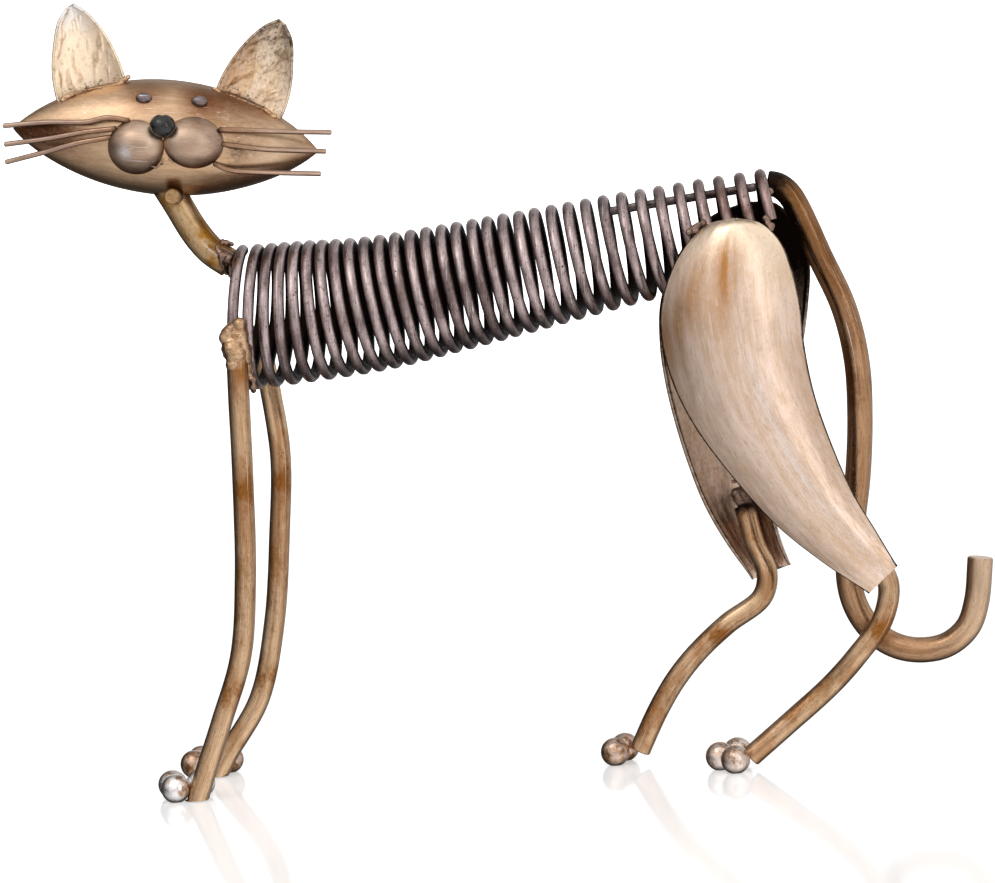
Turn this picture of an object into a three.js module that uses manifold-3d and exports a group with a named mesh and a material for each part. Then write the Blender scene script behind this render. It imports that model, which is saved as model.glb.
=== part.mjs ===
// A standing cat, about 290 mm long, welded up from steel rod, steel balls, formed sheet and a close-wound spring.
// Millimetres, +Z up. The head is towards -X, the tail towards +X, and the near side is -Y.
// Everything is fixed, and every joint is a weld, so each piece only keeps a small welding gap to its neighbour.
import * as THREE from 'three';
import { mergeVertices } from 'three/addons/utils/BufferGeometryUtils.js';
import Module from 'manifold-3d';

// Driving dimensions: the stock that the cat is made from
const LEG_ROD = 6.0; // diameter of the four leg rods
const TAIL_ROD = 7.0;
const NECK_ROD = 9.0;
const CHIN_ROD = 4.8;
const SPINE_ROD = 2.6;
const WHISKER_ROD = 1.6;
const SPRING_WIRE = 3.4;
const TOE_BALL = 8.7;
const SOLE_FLAT = 3.4; // diameter of the flat that each toe ball stands on
const HAUNCH_SHEET = 1.4;
const EAR_SHEET = 1.3;
const WELD_GAP = 0.3; // clearance between pieces that are welded together
const RIM_CLEARANCE = 0.7; // between a haunch's rim and the spring
const ROD_CLEARANCE = 1.0; // between a hind leg's rod and the inside of its haunch, which the weld fills

// Driving dimensions: the spring that makes the trunk
const SPRING_TURNS = 32.25;
const COIL_GAP = 1.25; // free space between two turns in the tight front part
const REAR_STRETCH = 0.061; // extra advance of the drawn-out rear turns, per turn squared
const STRETCHED_FROM = 18; // turn at which the drawn-out part starts
const SPRING_FRONT_DIAMETER = 44.8; // outer diameters
const SPRING_REAR_DIAMETER = 30.0;
const FRONT_LEAN = -7; // degrees that the first turn's top leans towards the tail
const REAR_LEAN = 7.4; // degrees that the later turns' tops lean towards the head
const LEANING_TURNS = 9; // turns over which the one lean becomes the other

// Driving dimensions: the head
const HEAD_LENGTH = 91.8;
const HEAD_RISE = 17.8; // from the line between its two tips up to its upper rim
const HEAD_DROP = 16.4; // from that line down to its lower rim
const HEAD_DEPTH = 30;
const HEAD_TILT = 7.9; // degrees
const HEAD_TURN = 7.5; // degrees
const NOSE_BALL = 7.2;
const EAR_CUP = 4.2; // hollow of an ear, front to back
const HAUNCH_CUP = 8.6; // hollow of a haunch, side to side

// The pose is free form: its routes and outlines are drawn for a cat 290 long, its face for a head 91.8 long,
// and they keep those proportions at any other length
const CAT_LENGTH = 290;
const POSE = CAT_LENGTH / 290;
const FACE = HEAD_LENGTH / 91.8;

const wasm = await Module();
wasm.setup();

const steel = (color, roughness) => new THREE.MeshStandardMaterial({ color, roughness, metalness: 0.9 });
const materials = {
  leg: steel(0xb08e66, 0.38),
  tail: steel(0xa87f55, 0.36),
  neck: steel(0x9a7a4e, 0.5),
  spring: steel(0x6f6462, 0.42),
  haunch: steel(0xcdbb9f, 0.34),
  head: steel(0xa98c6a, 0.36),
  ear: steel(0xc9b08a, 0.42),
  cheek: steel(0xb3a088, 0.34),
  eye: steel(0x4e4a50, 0.45),
  nose: steel(0x161214, 0.2),
  whisker: steel(0x9a8a80, 0.35),
  toe: steel(0xb5a59a, 0.25),
};

// Solids and meshes

function solidOf(geometry) {
  const bare = geometry.clone();
  bare.deleteAttribute('normal');
  bare.deleteAttribute('uv');
  const merged = mergeVertices(bare, 1e-4);
  const mesh = new wasm.Mesh({
    numProp: 3,
    vertProperties: Float32Array.from(merged.attributes.position.array),
    triVerts: Uint32Array.from(merged.index.array),
  });
  return new wasm.Manifold(mesh);
}

function geometryOf(solid) {
  const mesh = solid.getMesh();
  const geometry = new THREE.BufferGeometry();
  geometry.setAttribute('position', new THREE.BufferAttribute(Float32Array.from(mesh.vertProperties), 3));
  geometry.setIndex(new THREE.BufferAttribute(Uint32Array.from(mesh.triVerts), 1));
  geometry.computeVertexNormals();
  return geometry;
}

function without(geometry, ...cutters) {
  const cut = cutters.reduce((left, cutter) => left.subtract(solidOf(cutter)), solidOf(geometry));
  return geometryOf(cut);
}

// Turns a closed geometry the right way out where its rows were laid the other way round.
function facingOut(geometry) {
  const { array } = geometry.attributes.position;
  const corner = (i) => new THREE.Vector3().fromArray(array, 3 * geometry.index.array[i]);
  let volume = 0;
  for (let i = 0; i < geometry.index.count; i += 3) {
    volume += corner(i).dot(corner(i + 1).cross(corner(i + 2)));
  }
  if (volume < 0) geometry.index.array.reverse();
  geometry.computeVertexNormals();
  return geometry;
}

function named(name, geometry, material) {
  const mesh = new THREE.Mesh(geometry, material.clone());
  mesh.name = name;
  return mesh;
}

// Rods: a section with flat sides swept along a smooth route

function rodGeometry(route, diameter, { sides = 8, step = 2.4 * diameter } = {}) {
  const section = new THREE.Shape();
  const radius = (diameter / 2) * 1.02; // between the round rod's inscribed and circumscribed section
  for (let i = 0; i < sides; i += 1) {
    const angle = (2 * Math.PI * (i + 0.5)) / sides;
    const corner = [radius * Math.cos(angle), radius * Math.sin(angle)];
    if (i === 0) section.moveTo(...corner);
    else section.lineTo(...corner);
  }
  section.closePath();
  const steps = Math.max(1, Math.round(route.getLength() / step));
  const geometry = new THREE.ExtrudeGeometry(section, { steps, bevelEnabled: false, extrudePath: route });
  return mergeVertices(bareOf(geometry), 1e-4);
}

function bareOf(geometry) {
  geometry.deleteAttribute('normal');
  geometry.deleteAttribute('uv');
  return geometry;
}

const routeThrough = (points) => new THREE.CatmullRomCurve3(points, false, 'centripetal');

// Spring

const springPitch = SPRING_WIRE + COIL_GAP;
const springAdvance = (turn) => {
  const drawn = Math.max(0, turn - STRETCHED_FROM);
  return turn * springPitch + REAR_STRETCH * drawn * drawn;
};
const springLength = springAdvance(SPRING_TURNS);
const springStart = -springLength / 2;
const lastTop = springStart + springAdvance(Math.floor(SPRING_TURNS)); // top of the last whole turn
const springHeights = routeThrough([
  new THREE.Vector3(0, 0, 142.2),
  new THREE.Vector3(1, 0, 144.4),
  new THREE.Vector3(2, 0, 150.5),
  new THREE.Vector3(3, 0, 157.2),
  new THREE.Vector3(4, 0, 163.3),
]);

// Height of the spring's axis at a share of its length
const axisHeight = (share) => POSE * springHeights.getPoint(share).z;
const coilRadius = (share) => THREE.MathUtils.lerp(SPRING_FRONT_DIAMETER, SPRING_REAR_DIAMETER, share) / 2;

function springPoint(turn, target = new THREE.Vector3()) {
  const share = springAdvance(turn) / springLength;
  const lean = THREE.MathUtils.degToRad(
    THREE.MathUtils.lerp(FRONT_LEAN, REAR_LEAN, THREE.MathUtils.smoothstep(turn, 0, LEANING_TURNS)),
  );
  const radius = coilRadius(share) - SPRING_WIRE / 2;
  const angle = 2 * Math.PI * turn;
  return target.set(
    springStart + springAdvance(turn) - radius * Math.sin(lean) * Math.cos(angle),
    -radius * Math.sin(angle),
    axisHeight(share) + radius * Math.cos(lean) * Math.cos(angle),
  );
}

class SpringRoute extends THREE.Curve {
  constructor() {
    super();
    this.arcLengthDivisions = 3000;
  }

  getPoint(t, target) {
    return springPoint(t * SPRING_TURNS, target);
  }
}

const STEPS_A_TURN = 11;
const springGeometry = (wire) => {
  const route = new SpringRoute();
  return rodGeometry(route, wire, { sides: 6, step: route.getLength() / (SPRING_TURNS * STEPS_A_TURN) });
};

// Places: front pieces are drawn from the first turn's top and rear pieces from the last, so both follow the spring

const front = (x, y, z) => new THREE.Vector3(springStart + POSE * x, y, POSE * z);
const rear = (x, y, z) => new THREE.Vector3(lastTop + POSE * x, y, POSE * z);

// The neck and the tail's root are drawn from the height of the turn that they are welded to.
const firstTurnHeight = axisHeight(0) + coilRadius(0);
const lastTurnHeight = axisHeight(1) + coilRadius(1);
const onFirstTurn = (x, y, z) => new THREE.Vector3(springStart + POSE * x, y, firstTurnHeight + POSE * z);
const onLastTurn = (x, y, z) => new THREE.Vector3(lastTop + POSE * x, y, lastTurnHeight + POSE * z);

// Formed sheet: a leaf whose outer face lies between two edges and bulges along y, with its wall set in from it

function leafGeometry({ edgeA, edgeB, bulge, sheet, rows, columns }) {
  const point = (u, v) => {
    const place = edgeA.getPoint(u).lerp(edgeB.getPoint(u), v);
    place.y += bulge(u, 2 * v - 1);
    return place;
  };
  const normal = (u, v) => {
    const d = 0.02;
    const [u0, u1] = [Math.max(0, u - d), Math.min(1, u + d)];
    const [v0, v1] = [Math.max(0, v - d), Math.min(1, v + d)];
    const along = point(u1, v).sub(point(u0, v));
    const across = point(u, v1).sub(point(u, v0));
    return along.cross(across).normalize();
  };
  const positions = [];
  for (const offset of [0, sheet]) {
    for (let i = 0; i <= rows; i += 1) {
      for (let j = 0; j <= columns; j += 1) {
        const [u, v] = [i / rows, j / columns];
        positions.push(...point(u, v).addScaledVector(normal(u, v), offset));
      }
    }
  }
  const layer = (rows + 1) * (columns + 1);
  const id = (side, i, j) => side * layer + i * (columns + 1) + j;
  const index = [];
  const quad = (a, b, c, d) => index.push(a, b, c, a, c, d);
  for (let i = 0; i < rows; i += 1) {
    for (let j = 0; j < columns; j += 1) {
      quad(id(0, i, j), id(0, i + 1, j), id(0, i + 1, j + 1), id(0, i, j + 1));
      quad(id(1, i, j), id(1, i, j + 1), id(1, i + 1, j + 1), id(1, i + 1, j));
    }
    quad(id(0, i, 0), id(1, i, 0), id(1, i + 1, 0), id(0, i + 1, 0));
    quad(id(0, i, columns), id(0, i + 1, columns), id(1, i + 1, columns), id(1, i, columns));
  }
  for (let j = 0; j < columns; j += 1) {
    quad(id(0, 0, j), id(0, 0, j + 1), id(1, 0, j + 1), id(1, 0, j));
    quad(id(0, rows, j), id(1, rows, j), id(1, rows, j + 1), id(0, rows, j + 1));
  }
  const geometry = new THREE.BufferGeometry();
  geometry.setAttribute('position', new THREE.Float32BufferAttribute(positions, 3));
  geometry.setIndex(new THREE.Uint32BufferAttribute(index, 1));
  return facingOut(geometry);
}

// Head: two domed shells met at their rim, almond-shaped from in front. Its own frame has +x towards the tail tip.

const almond = (share, power) => Math.max(0, 4 * share * (1 - share)) ** power;
const OUTLINE_POWER = 0.85;
const DEPTH_POWER = 0.9;

function headGeometry(grown = 0) {
  const geometry = new THREE.SphereGeometry(1, 12, 20).rotateZ(-Math.PI / 2);
  const place = geometry.attributes.position;
  const length = HEAD_LENGTH + 2 * grown;
  for (let i = 0; i < place.count; i += 1) {
    // even steps along the length, a little closer at the tips
    const share = 0.5 + Math.asin(THREE.MathUtils.clamp(place.getX(i), -1, 1)) / Math.PI;
    const ring = Math.hypot(place.getY(i), place.getZ(i));
    const [outY, outZ] = ring < 1e-6 ? [0, 0] : [place.getY(i) / ring, place.getZ(i) / ring];
    const high = outZ > 0 ? HEAD_RISE : HEAD_DROP;
    const tip = ring < 1e-6 ? 0 : 1;
    place.setXYZ(
      i,
      (share - 0.5) * length,
      tip * outY * (HEAD_DEPTH / 2 * almond(share, DEPTH_POWER) + grown),
      tip * outZ * (high * almond(share, OUTLINE_POWER) + grown),
    );
  }
  return facingOut(mergeVertices(bareOf(geometry), 1e-4));
}

const domeGeometry = ([x, y, z], [rx, ry, rz], grown = 0) => {
  const ball = rx > 5 ? new THREE.SphereGeometry(1, 14, 8) : new THREE.SphereGeometry(1, 8, 6);
  ball.scale(rx + grown, ry + grown, rz + grown).translate(x, y, z);
  return mergeVertices(bareOf(ball), 1e-4);
};

const CHEEKS = {
  fore: { middle: [-8.2 * FACE, -12.6, -2.5], radii: [8.5, 6.2, 8.3] },
  aft: { middle: [8.8 * FACE, -12.6, 0.1], radii: [9.1, 5.6, 7.8] },
};
const EYES = {
  fore: { middle: [-7.0 * FACE, -10.6, 12.1], radii: [2.5, 1.7, 1.8] },
  aft: { middle: [9.6 * FACE, -10.3, 12.4], radii: [2.5, 1.7, 1.8] },
};
const NOSE_MIDDLE = [-0.6, -17.0, 4.5];

// Each whisker runs out from a cheek close over the face and past the rim.
const WHISKERS = {
  fore_1: [[-10.6, -14.0, 5.2], [-17.3, -13.9, 5.6], [-23.3, -12.6, 3.9], [-36, -7.8, 2.7], [-48.7, -3.0, 0.6]],
  fore_2: [[-14.4, -14.2, 2.6], [-23, -12.7, 1.0], [-35.4, -8.3, -2.2], [-47.9, -3.5, -4.9]],
  fore_3: [[-15.6, -13.6, 0.0], [-26, -12.2, -2.7], [-35, -8.7, -6.0], [-47.2, -3.8, -10.2]],
  aft_1: [[16.0, -13.6, 4.6], [29, -11.7, 5.1], [40.0, -7.4, 5.5], [49.4, -3.6, 6.0]],
  aft_2: [[17.0, -13.4, 0.4], [29.0, -11.8, -0.3], [39, -8.0, -0.1], [48.2, -4.0, 0.2]],
  aft_3: [[15.2, -12.6, -5.6], [19.9, -12.2, -7.2], [29.8, -9.7, -7.3], [47.2, -4.0, -6.6]],
};

function earGeometry(side) {
  const edge = (points) => routeThrough(points.map(([x, z]) => new THREE.Vector3(FACE * (side * x + 0.5), -1.2, z)));
  const outer = edge([[31.5, 4], [34.4, 11], [35.9, 18], [36, 26], [34.9, 33], [32.7, 37.6]]);
  const inner = edge([[12.5, 12], [14.2, 18.5], [17.2, 25], [21.6, 31.5], [26.6, 36.4], [30.8, 38.7]]);
  const bulge = (u, v) => EAR_CUP * (1 - 0.85 * u ** 2) * (1 - v * v);
  const [edgeA, edgeB] = side < 0 ? [outer, inner] : [inner, outer];
  return leafGeometry({ edgeA, edgeB, bulge, sheet: -EAR_SHEET, rows: 8, columns: 6 });
}

function makeHead() {
  const head = new THREE.Group();
  const keepOff = headGeometry(WELD_GAP);
  head.add(named('head', headGeometry(), materials.head));

  const dome = ({ middle, radii }, grown = 0) => domeGeometry(middle, radii, grown);
  const foreCheek = dome(CHEEKS.fore, WELD_GAP);
  const aftCheek = dome(CHEEKS.aft, WELD_GAP);
  head.add(named('cheek_fore', without(dome(CHEEKS.fore), keepOff), materials.cheek));
  head.add(named('cheek_aft', without(dome(CHEEKS.aft), keepOff, foreCheek), materials.cheek));

  for (const [side, eye] of Object.entries(EYES)) {
    head.add(named(`eye_${side}`, without(dome(eye), keepOff), materials.eye));
  }

  const nose = domeGeometry(NOSE_MIDDLE, [NOSE_BALL / 2, NOSE_BALL / 2, NOSE_BALL / 2]);
  head.add(named('nose', without(nose, keepOff, foreCheek, aftCheek), materials.nose));

  for (const [side, sign] of [['fore', -1], ['aft', 1]]) {
    head.add(named(`ear_${side}`, without(earGeometry(sign), keepOff), materials.ear));
  }

  for (const [side, points] of Object.entries(WHISKERS)) {
    const route = routeThrough(points.map(([x, y, z]) => new THREE.Vector3(FACE * x, y, z)));
    const rod = rodGeometry(route, WHISKER_ROD, { sides: 6, step: 7 });
    head.add(named(`whisker_${side}`, without(rod, keepOff, foreCheek, aftCheek), materials.whisker));
  }

  head.rotation.set(0, THREE.MathUtils.degToRad(HEAD_TILT), THREE.MathUtils.degToRad(HEAD_TURN), 'ZYX');
  head.position.copy(onFirstTurn(-18.6, 0, 32.6));
  return head;
}

// Body: neck, chin stub, spring and spine

function makeBody(head) {
  const body = new THREE.Group();
  head.updateMatrixWorld(true);
  const headKeepOff = headGeometry(WELD_GAP).applyMatrix4(head.matrixWorld);
  const springKeepOff = springGeometry(SPRING_WIRE + 2 * WELD_GAP);

  body.add(named('body_spring', springGeometry(SPRING_WIRE), materials.spring));

  const neckRoute = routeThrough([onFirstTurn(-21.5, 0, 22.4), onFirstTurn(-17, 0, 14.4), onFirstTurn(-11.5, 0, 4.2),
    onFirstTurn(-7, 0, -1.6), onFirstTurn(-2.0, 0, -6)]);
  const neck = (grown) => rodGeometry(neckRoute, NECK_ROD + grown, { sides: 10, step: 6 });
  body.add(named('neck', without(neck(0), headKeepOff, springKeepOff), materials.neck));

  const stubEnd = -(NECK_ROD / 2 + CHIN_ROD + 2.4);
  const stubRoute = new THREE.LineCurve3(onFirstTurn(-15.9, stubEnd, 15.8), onFirstTurn(-16.4, -1, 15.4));
  const stub = rodGeometry(stubRoute, CHIN_ROD, { step: 20 });
  body.add(named('chin_stub', without(stub, headKeepOff, neck(2 * WELD_GAP)), materials.neck));

  // The thin spine rod lies just inside the top of the rear turns.
  const spinePoint = (share) => {
    const drop = SPRING_WIRE + SPINE_ROD / 2 + WELD_GAP;
    const height = axisHeight(share) + coilRadius(share) * Math.cos(THREE.MathUtils.degToRad(REAR_LEAN)) - drop;
    return new THREE.Vector3(springStart + share * springLength, 0, height);
  };
  const spineRoute = routeThrough([0.7, 0.79, 0.88, 0.97].map(spinePoint));
  const spine = rodGeometry(spineRoute, SPINE_ROD, { sides: 6, step: 11 });
  body.add(named('spine_rod', without(spine, springKeepOff), materials.spring));
  return { body, springKeepOff };
}

// Legs: a rod and three toe balls each. x and z are read off the pose, y follows the spring and the rods

const frontTrack = coilRadius(0) + LEG_ROD / 2 + WELD_GAP; // outside the first turns
const frontFoot = frontTrack - LEG_ROD / 2; // the rods lean in a little
const rearTrack = 12.2 * POSE; // below the haunches
const nearHindFoot = 10 * POSE;

// Sideways distance of a haunch's outer face at its rim, clear of the spring and of the leg rod
const rimDistance = (x) => {
  const share = THREE.MathUtils.clamp((lastTop + POSE * x - springStart) / springLength, 0, 1);
  return Math.max(coilRadius(share), rearTrack + LEG_ROD / 2) + RIM_CLEARANCE + HAUNCH_SHEET;
};

const haunchBulge = (u, v) => HAUNCH_CUP * Math.sin(Math.PI * u ** 0.8) ** 0.7 * (1 - v * v);

// A hind leg's rod runs up the inside of its haunch: its sideways place at shares u down and v across the haunch
const insideHaunch = (x, u, v) =>
  rimDistance(x) + haunchBulge(u, v) - HAUNCH_SHEET - LEG_ROD / 2 - ROD_CLEARANCE;

const LEGS = {
  front_near: {
    side: -1,
    toes: [[-7.7, 0.6], [-10.1, -8.2], [-1.6, -8.8]],
    route: (s) => [front(2.9, s * frontTrack, 139.5), front(2.5, s * frontTrack, 124), front(1.5, s * frontFoot, 96),
      front(0.3, s * frontFoot, 67), front(-2.7, s * frontFoot, 43), front(-9.6, s * frontFoot, 24),
      front(-16.8, s * frontFoot, 5.5), front(-19.6, s * frontFoot, -3)],
  },
  front_far: {
    side: 1,
    toes: [[-9.2, 1.6], [-8.4, 10.6], [0.7, 8.6]],
    route: (s) => [front(1.2, s * frontTrack, 137), front(4.0, s * frontTrack, 118), front(6.2, s * frontFoot, 98),
      front(4.4, s * frontFoot, 75), front(0.9, s * frontFoot, 47), front(-5.4, s * frontFoot, 23.5),
      front(-16.9, s * frontFoot, 6), front(-21.6, s * frontFoot, -3)],
  },
  hind_near: {
    side: -1,
    toes: [[-4.8, 6.4], [-9.8, -1.1], [-5.0, -8.8]],
    route: (s) => [rear(11.5, s * insideHaunch(11.5, 0.79, 0.18), 80.5), rear(19, s * insideHaunch(19, 0.87, 0), 70),
      rear(26.5, s * insideHaunch(26.5, 0.97, 0), 61), rear(29.8, s * rearTrack, 53.5),
      rear(27.4, s * rearTrack, 43), rear(19.6, s * rearTrack, 33), rear(11.0, s * nearHindFoot, 24),
      rear(-3.0, s * nearHindFoot, 12.5), rear(-14.1, s * nearHindFoot, 3.6)],
  },
  hind_far: {
    side: 1,
    toes: [[-7.5, -2.7], [-5.2, 6.3]], // this foot has only two
    route: (s) => [rear(-14.6, s * insideHaunch(-14.6, 0.77, 0.12), 81),
      rear(-11, s * insideHaunch(-11, 0.9, 0.08), 66), rear(-7.3, s * insideHaunch(-7.3, 1, 0), 56),
      rear(-9.2, s * rearTrack, 48.7), rear(-20.2, s * rearTrack, 41), rear(-29.5, s * rearTrack, 33),
      rear(-36.6, s * rearTrack, 25), rear(-42.8, s * rearTrack, 15.5), rear(-49, s * rearTrack, 3.6)],
  },
};

const toeRadius = TOE_BALL / 2;
const toeHeight = Math.sqrt(toeRadius ** 2 - (SOLE_FLAT / 2) ** 2);

// A toe ball is turned about the vertical and ground flat underneath, so its middle is toeHeight above the floor.
function toeGeometry() {
  const ring = 5;
  const lowest = -Math.acos(SOLE_FLAT / TOE_BALL);
  const profile = [new THREE.Vector2(0, -toeHeight)];
  for (let i = 0; i < ring; i += 1) {
    const angle = THREE.MathUtils.lerp(lowest, Math.PI / 2, i / ring);
    profile.push(new THREE.Vector2(toeRadius * Math.cos(angle), toeRadius * Math.sin(angle)));
  }
  profile.push(new THREE.Vector2(0, toeRadius));
  return facingOut(mergeVertices(bareOf(new THREE.LatheGeometry(profile, 10).rotateX(Math.PI / 2)), 1e-4));
}

// Where the leg's own middle line is level with the toe balls' middles
function ankle(route) {
  const steps = 400;
  for (let i = steps; i > 0; i -= 1) {
    const place = route.getPoint(i / steps);
    if (place.z > toeHeight) return place;
  }
  return route.getPoint(0);
}

// The toes were placed for the drawn rod and ball; other sizes move them out or in along the same lines.
const DRAWN_REACH = 7.35;
const toeReach = (LEG_ROD + TOE_BALL) / 2 / DRAWN_REACH;

function makeLeg(name, { side, toes, route: pointsOf }, springKeepOff) {
  const leg = new THREE.Group();
  const route = routeThrough(pointsOf(side));
  const floor = new THREE.BoxGeometry(CAT_LENGTH * 2, CAT_LENGTH, TOE_BALL * 2);
  floor.translate(0, 0, -TOE_BALL + WELD_GAP);
  const rod = without(rodGeometry(route, LEG_ROD, { step: 9 }), springKeepOff, floor);
  leg.add(named(`leg_${name}`, rod, materials.leg));
  const foot = ankle(route);
  toes.forEach(([x, y], i) => {
    const toe = named(`toe_${name}_${i + 1}`, toeGeometry(), materials.toe);
    toe.position.set(foot.x + toeReach * x, foot.y + side * toeReach * y, toeHeight);
    leg.add(toe);
  });
  return leg;
}

// Haunches: a domed leaf on each side of the last turns, over the top of each hind leg

const HAUNCHES = {
  near: {
    side: -1,
    ahead: [[-9.8, 164.6], [-17.6, 163], [-26.6, 153.5], [-31.9, 140.5], [-32.5, 130], [-29.9, 117], [-24.6, 104.5],
      [-15.6, 90.5], [-2.1, 73.5], [11.9, 61], [24.3, 51.9]],
    behind: [[-8.4, 164.6], [-1.6, 162.8], [3.9, 157], [7.2, 147], [8.8, 137], [9.1, 127], [11.1, 112.5],
      [14.9, 98.5], [20.9, 82], [27.4, 69.5], [32.6, 59.2]],
  },
  far: {
    side: 1,
    ahead: [[-8.4, 167.6], [-19, 163.5], [-29, 152.5], [-34.7, 140], [-35.9, 127], [-35.0, 115], [-32.8, 102.5],
      [-29.4, 89], [-25.2, 76.5], [-19.1, 64.5], [-11.8, 53.6]],
    behind: [[-6.6, 167.8], [1.4, 166.8], [7, 160], [10.4, 149], [9.4, 136], [6.4, 121], [2, 106],
      [-2.6, 90], [-4.7, 78], [-3.3, 67], [-0.6, 57.4]],
  },
};

function makeHaunch(name, { side, ahead, behind }) {
  const edge = (points) => routeThrough(points.map(([x, z]) => rear(x, side * rimDistance(x), z)));
  const bulge = (u, v) => side * haunchBulge(u, v);
  const leaf = leafGeometry({
    edgeA: edge(side < 0 ? behind : ahead),
    edgeB: edge(side < 0 ? ahead : behind),
    bulge,
    sheet: HAUNCH_SHEET,
    rows: 14,
    columns: 6,
  });
  return named(`haunch_${name}`, leaf, materials.haunch);
}

// Tail: one rod from behind the last turn, down past the near heel and up again in a hook

function makeTail(springKeepOff) {
  const root = [[0.2, -4.7], [3.4, -5.5], [6.2, -7.9], [8.6, -12.1]];
  const hanging = [[14.5, 151.2], [20.8, 135.3], [23.7, 119.3], [23.7, 102.3], [22.1, 85], [19.9, 71.9], [17.7, 54.6],
    [19.6, 45.3], [24.2, 38.1], [30.5, 33.6], [38.0, 31.9], [46.0, 33.2], [52.2, 38.1], [55.2, 45.5], [57.1, 58.9]];
  const above = root.map(([x, z]) => onLastTurn(x, 0, z));
  const route = routeThrough([...above, ...hanging.map(([x, z]) => rear(x, 0, z))]);
  return named('tail', without(rodGeometry(route, TAIL_ROD, { step: 7.5 }), springKeepOff), materials.tail);
}

const cat = new THREE.Group();
const head = makeHead();
const { body, springKeepOff } = makeBody(head);
cat.add(head, body, makeTail(springKeepOff));
for (const [name, leg] of Object.entries(LEGS)) cat.add(makeLeg(name, leg, springKeepOff));
for (const [name, haunch] of Object.entries(HAUNCHES)) cat.add(makeHaunch(name, haunch));

// The origin is on the floor under the middle of the cat.
cat.updateMatrixWorld(true);
const box = new THREE.Box3().setFromObject(cat);
cat.position.set(-(box.min.x + box.max.x) / 2, -(box.min.y + box.max.y) / 2, -box.min.z);

export default cat;
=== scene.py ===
"""A standing cat, welded up from steel rod, steel balls, formed sheet and a close-wound spring."""

import logging
import math
from dataclasses import dataclass, field
from enum import Enum
from typing import Callable, Sequence

import bpy
import numpy as np
from mathutils import Matrix, Vector, noise


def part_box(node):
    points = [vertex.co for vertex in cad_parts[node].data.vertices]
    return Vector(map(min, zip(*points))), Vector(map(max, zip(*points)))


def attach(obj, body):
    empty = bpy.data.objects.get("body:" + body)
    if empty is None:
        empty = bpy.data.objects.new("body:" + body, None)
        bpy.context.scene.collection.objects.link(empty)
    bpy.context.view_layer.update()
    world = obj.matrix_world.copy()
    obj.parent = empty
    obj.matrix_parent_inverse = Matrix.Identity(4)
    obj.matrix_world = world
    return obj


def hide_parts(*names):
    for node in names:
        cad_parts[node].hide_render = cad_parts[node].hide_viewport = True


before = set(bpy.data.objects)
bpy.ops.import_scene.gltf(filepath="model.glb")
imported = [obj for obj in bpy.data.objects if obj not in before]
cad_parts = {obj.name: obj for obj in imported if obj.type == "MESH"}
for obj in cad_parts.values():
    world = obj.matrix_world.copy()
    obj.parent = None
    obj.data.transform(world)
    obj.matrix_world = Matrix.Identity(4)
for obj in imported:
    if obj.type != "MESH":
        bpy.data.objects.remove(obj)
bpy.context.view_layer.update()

LOG = logging.getLogger("cat")
MM = 0.001
BODY = "root"
Point = tuple[float, float, float]
Colour = tuple[float, float, float, float]


def linear(code: str) -> Colour:
    """Turns a colour as it is seen into linear light.

    Args:
        code: Six hexadecimal digits, such as "c9b08a".

    Returns:
        Red, green, blue and an alpha of one.
    """
    seen = [int(code[i : i + 2], 16) / 255 for i in (0, 2, 4)]
    light = [c / 12.92 if c <= 0.04045 else ((c + 0.055) / 1.055) ** 2.4 for c in seen]
    return (*light, 1.0)


# Where the pose sits


@dataclass(frozen=True)
class Datum:
    """The places that the pose is drawn from, in millimetres."""

    first_turn: float = -76.632
    last_turn: float = 84.124
    middle: float = -4.487

    def front(self, x: float, y: float, z: float) -> Point:
        """Gives the place of a point that is drawn from the spring's first turn."""
        return (self.first_turn + x, self.middle + y, z)

    def rear(self, x: float, y: float, z: float) -> Point:
        """Gives the place of a point that is drawn from the spring's last turn."""
        return (self.last_turn + x, self.middle + y, z)


DATUM = Datum()


# Node trees written as expressions


class Term:
    """A node's output that takes part in Python expressions on numbers."""

    def __init__(self, graph: "Graph", socket: bpy.types.NodeSocket) -> None:
        """Keeps the tree and the output socket."""
        self.graph = graph
        self.socket = socket

    def _maths(self, operation: str, *values: "Term | float") -> "Term":
        """Adds one Math node on these values."""
        return self.graph.node("ShaderNodeMath", {"operation": operation}, dict(enumerate(values)))

    def __add__(self, other: "Term | float") -> "Term":
        """Adds."""
        return self._maths("ADD", self, other)

    def __sub__(self, other: "Term | float") -> "Term":
        """Subtracts."""
        return self._maths("SUBTRACT", self, other)

    def __rsub__(self, other: float) -> "Term":
        """Subtracts from a number."""
        return self._maths("SUBTRACT", other, self)

    def __mul__(self, other: "Term | float") -> "Term":
        """Multiplies."""
        return self._maths("MULTIPLY", self, other)

    def __truediv__(self, other: "Term | float") -> "Term":
        """Divides."""
        return self._maths("DIVIDE", self, other)

    __radd__ = __add__
    __rmul__ = __mul__

    def function(self, operation: str, *others: "Term | float") -> "Term":
        """Applies any other operation of the Math node."""
        return self._maths(operation, self, *others)


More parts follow.
